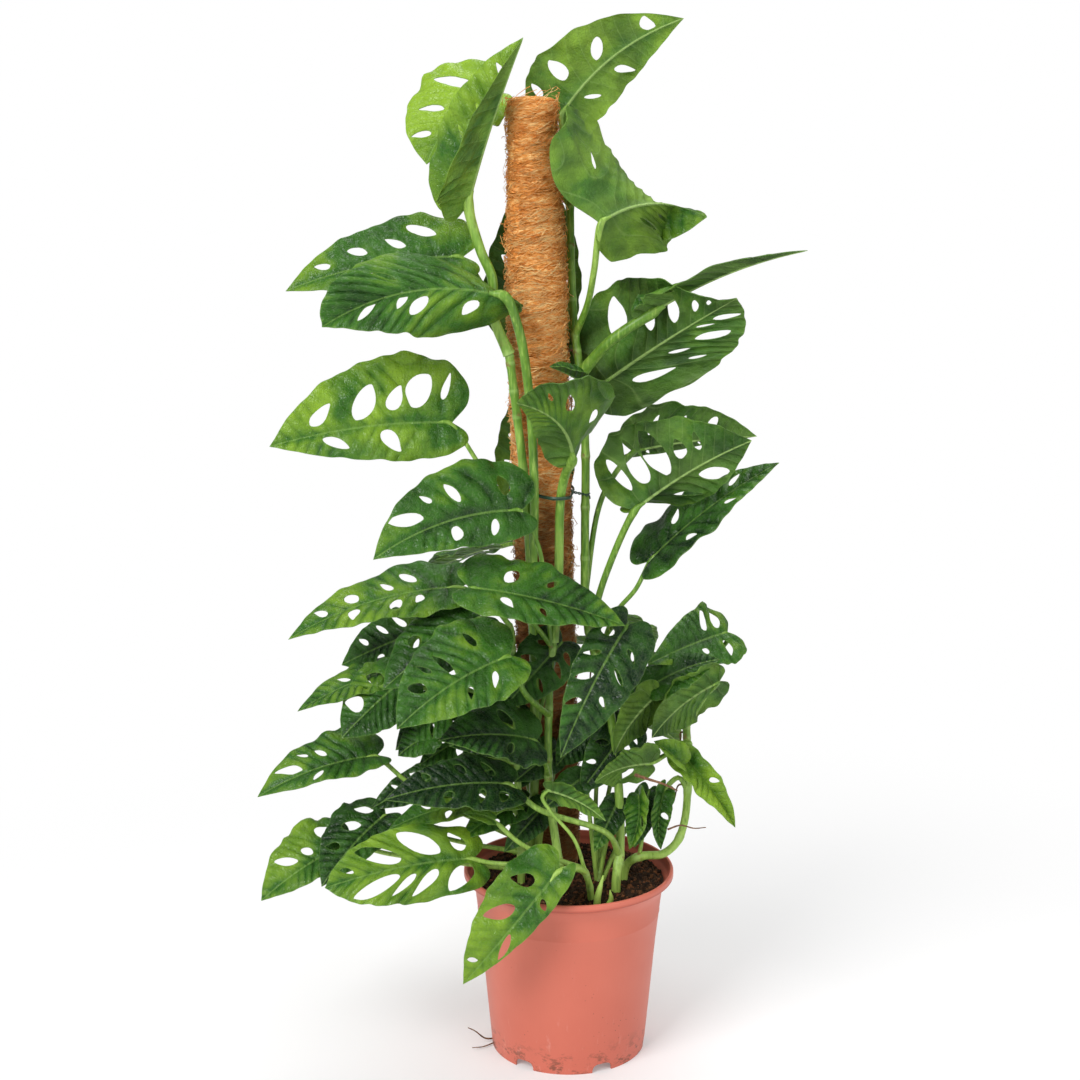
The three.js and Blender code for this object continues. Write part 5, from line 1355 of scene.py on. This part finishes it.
def build_pole(looks):
    """The coir pole: a ridged sleeve under thousands of wound strands, with some that stand off."""
    sides, pitch = 84, looks.winding_pitch / MM
    dome = [(0.99, 7.5), (0.93, 3.6), (0.8, 1.5), (0.55, 0.5), (0.25, 0.1)]
    heights = np.arange(POLE_FOOT[2] + 0.3, POLE_TOP[2] - 9, 2.1)
    levels = [(1.0, height) for height in heights] + [(share, POLE_TOP[2] - 1 - drop) for share, drop in dome]
    ring, turns = circle(sides)
    low_radius, top_radius = POLE_RADIUS - COIR_DEPTH, POLE_TOP_RADIUS - TOP_COIR_DEPTH
    rings, dark = [], []
    for share, height in levels:
        narrow = ramp(height, POLE_NARROWS_AT - POLE_NARROWING, POLE_NARROWS_AT + POLE_NARROWING)
        radius = share * (low_radius * (1 - narrow) + top_radius * narrow)
        phase = (height - POLE_FOOT[2]) / pitch - turns / (2 * np.pi)
        ridge = np.abs(np.sin(np.pi * phase)) ** 0.6
        lumps = 0.4 * np.sin(height * 0.21 + 2 * turns) + 0.25 * np.sin(height * 0.83 - 5 * turns)
        wide = radius + share * (0.7 * ridge - 0.6 + lumps)
        centre = pole_centre(height)
        rings.append(np.column_stack([centre[:2] + wide[:, None] * ring, np.full(sides, height)]))
        # how deep a place lies in a groove between windings, for painted shade there
        dark.append(1 - ridge)
    points = np.vstack([*rings, pole_centre(np.array([heights[0], POLE_TOP[2] - 1.0]))])
    mesh = PieceMesh()
    mesh.add(points, closed_faces(len(rings), sides), node=np.r_[np.concatenate(dark), 0, 0])
    # painted shade: the sleeve is a darker copy of the coir finish, its fibres painted darker than the
    # strands
    sleeve = mesh.build("coir_sleeve", [coir_finish(looks, "coir_sleeve_shaded", 0.25)])
    paint(sleeve, "strand", 5, 0.3)
    settle(sleeve, "coir", "pole_coir")

    material = coir_finish(looks, "coir_fibre", 0.0)
    growth = coir_growth()
    for name, count, tilt, thickness, proud, sweep, seed, wobble, curl in (
            ("coir_strands", looks.strand_count, 0.5, 0.5, 0.06, 0.86, 11, 0.007, 120.0),
            ("coir_loose_fibres", looks.strand_count // 9, 0.85, 0.34, 0.16, 0.9, 37, 0.018, 70.0)):
        strands = growth.grow(name, bpy.data.meshes.new(name + "_start"), {
            "Count": count, "Tilt": tilt, "Thickness": looks.strand_thickness * thickness,
            "Radius": POLE_RADIUS * MM, "Proud": proud, "Pitch": looks.winding_pitch, "Sweep": sweep,
            "Seed": seed, "Wobble": wobble, "Curl": curl, "Material": material})
        settle(strands, "coir")

    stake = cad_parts["pole_stake"]
    stake.data.materials.clear()
    stake.data.materials.append(stake_finish())


def build_tie():
    """The strip round the pole and a stem, with its two ends twisted together."""
    centre = pole_centre(TIE_HEIGHT)
    loop = []
    for angle, extra, rise in TIE_LOOP:
        turn = math.radians(angle)
        radius = POLE_RADIUS + TIE_THICKNESS + extra
        loop.append(centre + (radius * math.cos(turn), radius * math.sin(turn), rise))
    path, _ = evenly(smooth_path(loop), 1.6)
    ahead = unit(np.gradient(path, axis=0))
    out = unit(np.cross(ahead, [0, 0, 1.0]))
    tall = np.cross(out, ahead)
    section = np.array(TIE_SECTION)
    sides = len(section)
    points = path[:, None] + section[None, :, :1] * out[:, None] + section[None, :, 1:] * tall[:, None]
    k = np.arange(sides)
    last = (len(path) - 1) * sides
    mesh = PieceMesh()
    mesh.add(points.reshape(-1, 3), [ring_faces(len(path), sides)[:, ::-1], k[None], k[None, ::-1] + last])
    end = np.array(loop[-1])
    away = unit(end - centre) * (1, 1, 0)
    at = np.linspace(0, 1, 30)
    spread = 0.75 + 1.6 * ramp(at, 0.75, 1.0)
    core = end + np.outer(at * TWIST_LENGTH, away) + np.outer(at * 2, [0.6, 0, -1.0])
    side = np.cross(away, [0, 0, 1.0])
    for turn in (0, math.pi):
        spin = turn + at * 2 * TWIST_TURNS * math.pi
        twist = core + np.outer(spread * np.cos(spin), side) + np.outer(spread * np.sin(spin), [0, 0, 1.0])
        add_tube(mesh, twist, 0.62, 0, 6)
    settle(mesh.build("plant_tie", [tie_finish()]), "tie", "tie")


def build_litter(root_material, stem_material):
    """Small things between the stems: two sprouts, dry twigs, and roots out of the pot's foot."""
    mesh = PieceMesh()
    for route, radius in LITTER:
        path, at = evenly(smooth_path(route), 2.5)
        share = at / at[-1]
        add_tube(mesh, path, radius * (1 - 0.55 * share) * (1 + 0.08 * np.sin(at * 0.9)), 0, 7, edge=at)
    settle(mesh.build("dry_twigs_and_roots", [root_material]), "soil")
    mesh = PieceMesh()
    for route, radius in SPROUTS:
        path, at = evenly(smooth_path(route), 2)
        share = at / at[-1]
        add_tube(mesh, path, radius * (1.15 - 0.95 * share**2), 0, 10, shade=0.9, edge=at)
    settle(mesh.build("young_sprouts", [stem_material]), "leaf")


# The add-on: sizes and colours, an operator for each piece, and the panel that lists them


def distance(name, description, default, low=0.0, high=10.0):
    """A size in metres that a user may change."""
    return FloatProperty(name=name, description=description, default=default, min=low, max=high,
                         subtype="DISTANCE", unit="LENGTH")


def swatch(name, description, default):
    """A colour that a user may change."""
    return FloatVectorProperty(name=name, description=description, default=default, min=0, max=1,
                               size=3, subtype="COLOR")


def amount(name, description, default, kind=FloatProperty, low=0, **limits):
    """A plain number that a user may change."""
    return kind(name=name, description=description, default=default, min=low, **limits)


class FoliageLooks(bpy.types.PropertyGroup):
    """Sizes and greens of the leaves and stems."""

    mesh_spacing: distance("Mesh Spacing", "Distance between the points of a blade", 0.0024, 0.001, 0.01)
    blade_thickness: distance("Blade Thickness", "Thickness of a leaf", 0.0007, 0.0003, 0.003)
    panel_rise: distance("Panel Rise", "How far a blade rises between its side veins", 0.0018, 0, 0.004)
    deep_green: swatch("Deep Green", "Darkest green of the blades", (0.003, 0.022, 0.005))
    leaf_green: swatch("Leaf Green", "Usual green of the blades", (0.042, 0.15, 0.014))
    fresh_green: swatch("Fresh Green", "Brightest green of the blades", (0.28, 0.47, 0.03))
    vein_green: swatch("Vein Green", "Veins and midrib seen from above", (0.22, 0.4, 0.08))
    underside_green: swatch("Underside Green", "Dull green of the undersides", (0.18, 0.33, 0.055))
    rib_green: swatch("Rib Green", "Raised midrib below, and the nodes", (0.36, 0.54, 0.16))
    glow_green: swatch("Glow Green", "Light that comes through a blade", (0.34, 0.68, 0.02))
    stem_deep: swatch("Deep Stem Green", "Darkest green of the petioles", (0.035, 0.11, 0.008))
    stem_green: swatch("Stem Green", "Usual green of the petioles", (0.135, 0.285, 0.027))
    stem_pale: swatch("Pale Stem Green", "Palest green, low on the stems", (0.44, 0.64, 0.13))
    scar_brown: swatch("Scar Brown", "Dry scars at the nodes", (0.2, 0.1, 0.035))


class PoleLooks(bpy.types.PropertyGroup):
    """Strands and browns of the coir pole."""

    strand_count: amount("Strands", "Number of wound strands", 9400, IntProperty, 100, max=9600)
    strand_thickness: distance("Strand Thickness", "Thickness of a coir strand", 0.00062, 0.0002, 0.003)
    winding_pitch: distance("Winding Pitch", "Rise of one turn of the winding", 0.0125, 0.005, 0.05)
    coir_dark: swatch("Coir Shadow", "Darkest fibres", (0.58, 0.185, 0.036))
    coir_brown: swatch("Coir Brown", "Usual fibres", (1.0, 0.4, 0.085))
    coir_light: swatch("Coir Light", "Palest fibres", (1.0, 0.74, 0.34))
    coir_low: swatch("Low Coir", "Fibres low on the pole", (0.13, 0.045, 0.016))


class SoilLooks(bpy.types.PropertyGroup):
    """Crumbs and browns of the soil."""

    crumb_count: amount("Crumbs", "Number of crumbs on the soil", 7000, IntProperty, 10, max=9000)
    crumb_size: distance("Largest Crumb", "Half the length of the largest crumb", 0.0034, 0.0005, 0.01)
    soil_dark: swatch("Dark Soil", "Darkest crumbs", (0.012, 0.007, 0.004))
    soil_brown: swatch("Brown Soil", "Usual crumbs", (0.05, 0.024, 0.011))
    soil_red: swatch("Red Soil", "Bits of coir in the soil", (0.2, 0.075, 0.028))
    soil_pale: swatch("Pale Soil", "Palest grains", (0.5, 0.36, 0.22))


class PotLooks(bpy.types.PropertyGroup):
    """Colours of the plastic pot."""

    pot_colour: swatch("Pot Colour", "Terracotta-coloured plastic", (0.62, 0.158, 0.103))
    pot_shade: swatch("Pot Shade", "Slightly darker clouds in the plastic", (0.59, 0.145, 0.094))
    # colour of the painted shadow under the lip
    pot_lip_shadow: swatch("Lip Shadow", "Redder line under the lip", (0.36, 0.07, 0.045))
    pot_scuff: swatch("Scuffs", "Whitish rubbed places", (0.85, 0.56, 0.48))
    pot_dirt: swatch("Dirt", "Dark marks and specks", (0.16, 0.06, 0.035))


class StageLooks(bpy.types.PropertyGroup):
    """Floor and lights of the studio."""

    floor_radius: distance("Floor Radius", "Radius of the round floor", 6.0, 1.0, 20.0)
    floor_colour: swatch("Floor Colour", "Pale colour of the floor", (0.9, 0.9, 0.9))
    key_power: amount("Key Light", "Power of the main light, in watts", 74)
    fill_power: amount("Fill Light", "Power of the fill light, in watts", 20)
    top_power: amount("Top Light", "Power of the light above, in watts", 30)
    sky_strength: amount("Surround", "Strength of the white surround", 0.36)
    lens: amount("Lens", "Focal length of the camera, in millimetres", 63.33, low=1)


def build_floor(looks):
    """The round floor, flat and level."""
    sides, radii = 96, (0.3, 1.0, 2.5, looks.floor_radius)
    ring, _ = circle(sides)
    points = np.vstack([np.column_stack([ring * radius, np.zeros(sides)]) for radius in radii])
    faces = [list(range(sides)), *ring_faces(len(radii), sides)[:, TURNED_OVER].tolist()]
    mesh = bpy.data.meshes.new("studio_floor")
    mesh.from_pydata(points.tolist(), [], faces)
    mesh.materials.append(floor_finish(looks))
    floor = bpy.data.objects.new("studio_floor", mesh)
    bpy.context.scene.collection.objects.link(floor)


def build_lights(looks):
    """Three soft lights: in front on the left, in front on the right, and above."""
    for name, place, aim, size, power in (
            ("key_light", (-1.5, -1.9, 2.1), (0, 0, 0.5), 1.5, looks.key_power),
            ("fill_light", (1.9, -1.6, 1.2), (0, 0, 0.45), 1.8, looks.fill_power),
            ("top_light", (0.3, 0.7, 2.5), (0, 0, 0.6), 1.6, looks.top_power)):
        light = bpy.data.lights.new(name, "AREA")
        light.size = size
        light.energy = power
        lamp = bpy.data.objects.new(name, light)
        lamp.location = place
        away = unit(np.subtract(aim, place))
        lamp.rotation_euler = (math.acos(-away[2]), 0, math.atan2(-away[0], away[1]))
        bpy.context.scene.collection.objects.link(lamp)


def build_surround(looks):
    """A surround that the camera sees as white and that lights the plant more softly."""
    world = bpy.data.worlds.new("white_surround")
    world.use_nodes = True
    sky = NodeTree(world.node_tree)
    white = (1, 1, 1, 1)
    dim = sky.nodes["Background"]
    sky.put(dim, "Color", white)
    sky.put(dim, "Strength", looks.sky_strength)
    seen = sky.node("ShaderNodeBackground", Color=white)
    paths = sky.node("ShaderNodeLightPath")
    both = sky.node("ShaderNodeMixShader", _0=paths.outputs["Is Camera Ray"], _1=dim.outputs[0],
                    _2=seen.outputs[0])
    sky.put(sky.nodes["World Output"], "Surface", both.outputs[0])
    bpy.context.scene.world = world


def build_camera(looks):
    """A camera where the photograph was taken from."""
    camera = bpy.data.cameras.new("photo_camera")
    camera.lens = looks.lens
    camera.sensor_width = SENSOR_WIDTH
    camera.clip_end = 50
    rig = bpy.data.objects.new("photo_camera", camera)
    rig.location = CAMERA_PLACE
    rig.rotation_euler = (math.radians(90 - CAMERA_DOWN), 0, 0)
    bpy.context.scene.collection.objects.link(rig)
    bpy.context.scene.camera = rig


class MONSTERA_OT_stage(bpy.types.Operator):
    """Sets the floor, the lights and the camera."""

    bl_idname = "monstera.stage"
    bl_label = "Set Stage"

    def execute(self, context):
        looks = context.scene.monstera_stage
        for build in (build_floor, build_lights, build_surround, build_camera):
            build(looks)
        context.scene.view_settings.view_transform = "Standard"
        return {"FINISHED"}


class MONSTERA_OT_pot(bpy.types.Operator):
    """Builds the nursery pot."""

    bl_idname = "monstera.pot"
    bl_label = "Build Pot"

    def execute(self, context):
        build_pot(context.scene.monstera_pot)
        return {"FINISHED"}


class MONSTERA_OT_soil(bpy.types.Operator):
    """Builds the soil and its crumbs."""

    bl_idname = "monstera.soil"
    bl_label = "Build Soil"

    def execute(self, context):
        build_soil(context.scene.monstera_soil)
        return {"FINISHED"}


class MONSTERA_OT_pole(bpy.types.Operator):
    """Builds the coir pole round its wooden stake."""

    bl_idname = "monstera.pole"
    bl_label = "Build Coir Pole"

    def execute(self, context):
        build_pole(context.scene.monstera_pole)
        return {"FINISHED"}


class MONSTERA_OT_tie(bpy.types.Operator):
    """Builds the twisted plant tie."""

    bl_idname = "monstera.tie"
    bl_label = "Build Tie"

    def execute(self, context):
        build_tie()
        return {"FINISHED"}


class MONSTERA_OT_stems(bpy.types.Operator):
    """Builds the leafy stems, and the sprouts and twigs between them."""

    bl_idname = "monstera.stems"
    bl_label = "Build Leafy Stems"

    def execute(self, context):
        looks = context.scene.monstera_foliage
        materials = [leaf_finish(looks), stem_finish(looks), root_finish()]
        number = 1
        for stem in LEAFY_STEMS:
            build_leafy_stem(stem, number, looks, materials)
            number += len(stem["leaves"])
        build_litter(materials[2], materials[1])
        return {"FINISHED"}


class MONSTERA_PT_pieces(bpy.types.Panel):
    """Lists the pieces of the plant and their looks."""

    bl_label = "Potted Monstera"
    bl_idname = "MONSTERA_PT_pieces"
    bl_space_type = "VIEW_3D"
    bl_region_type = "UI"
    bl_category = "Monstera"

    def draw(self, context):
        for name, _, operators in PARTS:
            box = self.layout.box()
            looks = getattr(context.scene, name)
            for key in type(looks).__annotations__:
                box.prop(looks, key)
            for operator in operators:
                box.operator(operator)


# The looks of each part, with the operators that build it, in the order they run
PARTS = (
    ("monstera_stage", StageLooks, ("monstera.stage",)),
    ("monstera_pot", PotLooks, ("monstera.pot",)),
    ("monstera_soil", SoilLooks, ("monstera.soil",)),
    ("monstera_pole", PoleLooks, ("monstera.pole", "monstera.tie")),
    ("monstera_foliage", FoliageLooks, ("monstera.stems",)),
)
CLASSES = (
    *(group for _, group, _ in PARTS), MONSTERA_OT_stage, MONSTERA_OT_pot, MONSTERA_OT_soil,
    MONSTERA_OT_pole, MONSTERA_OT_tie, MONSTERA_OT_stems, MONSTERA_PT_pieces,
)


def register():
    """Registers the classes, and gives each scene a group of looks for each piece."""
    for kind in CLASSES:
        bpy.utils.register_class(kind)
    for name, group, _ in PARTS:
        setattr(bpy.types.Scene, name, PointerProperty(type=group))


def unregister():
    """Takes back what register did."""
    for name, _, _ in PARTS:
        delattr(bpy.types.Scene, name)
    for kind in reversed(CLASSES):
        bpy.utils.unregister_class(kind)


def main():
    """Builds every piece in order."""
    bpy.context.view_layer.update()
    register()
    for _, _, operators in PARTS:
        for operator in operators:
            group, name = operator.split(".")
            getattr(getattr(bpy.ops, group), name)()


if __name__ == "__main__":
    main()
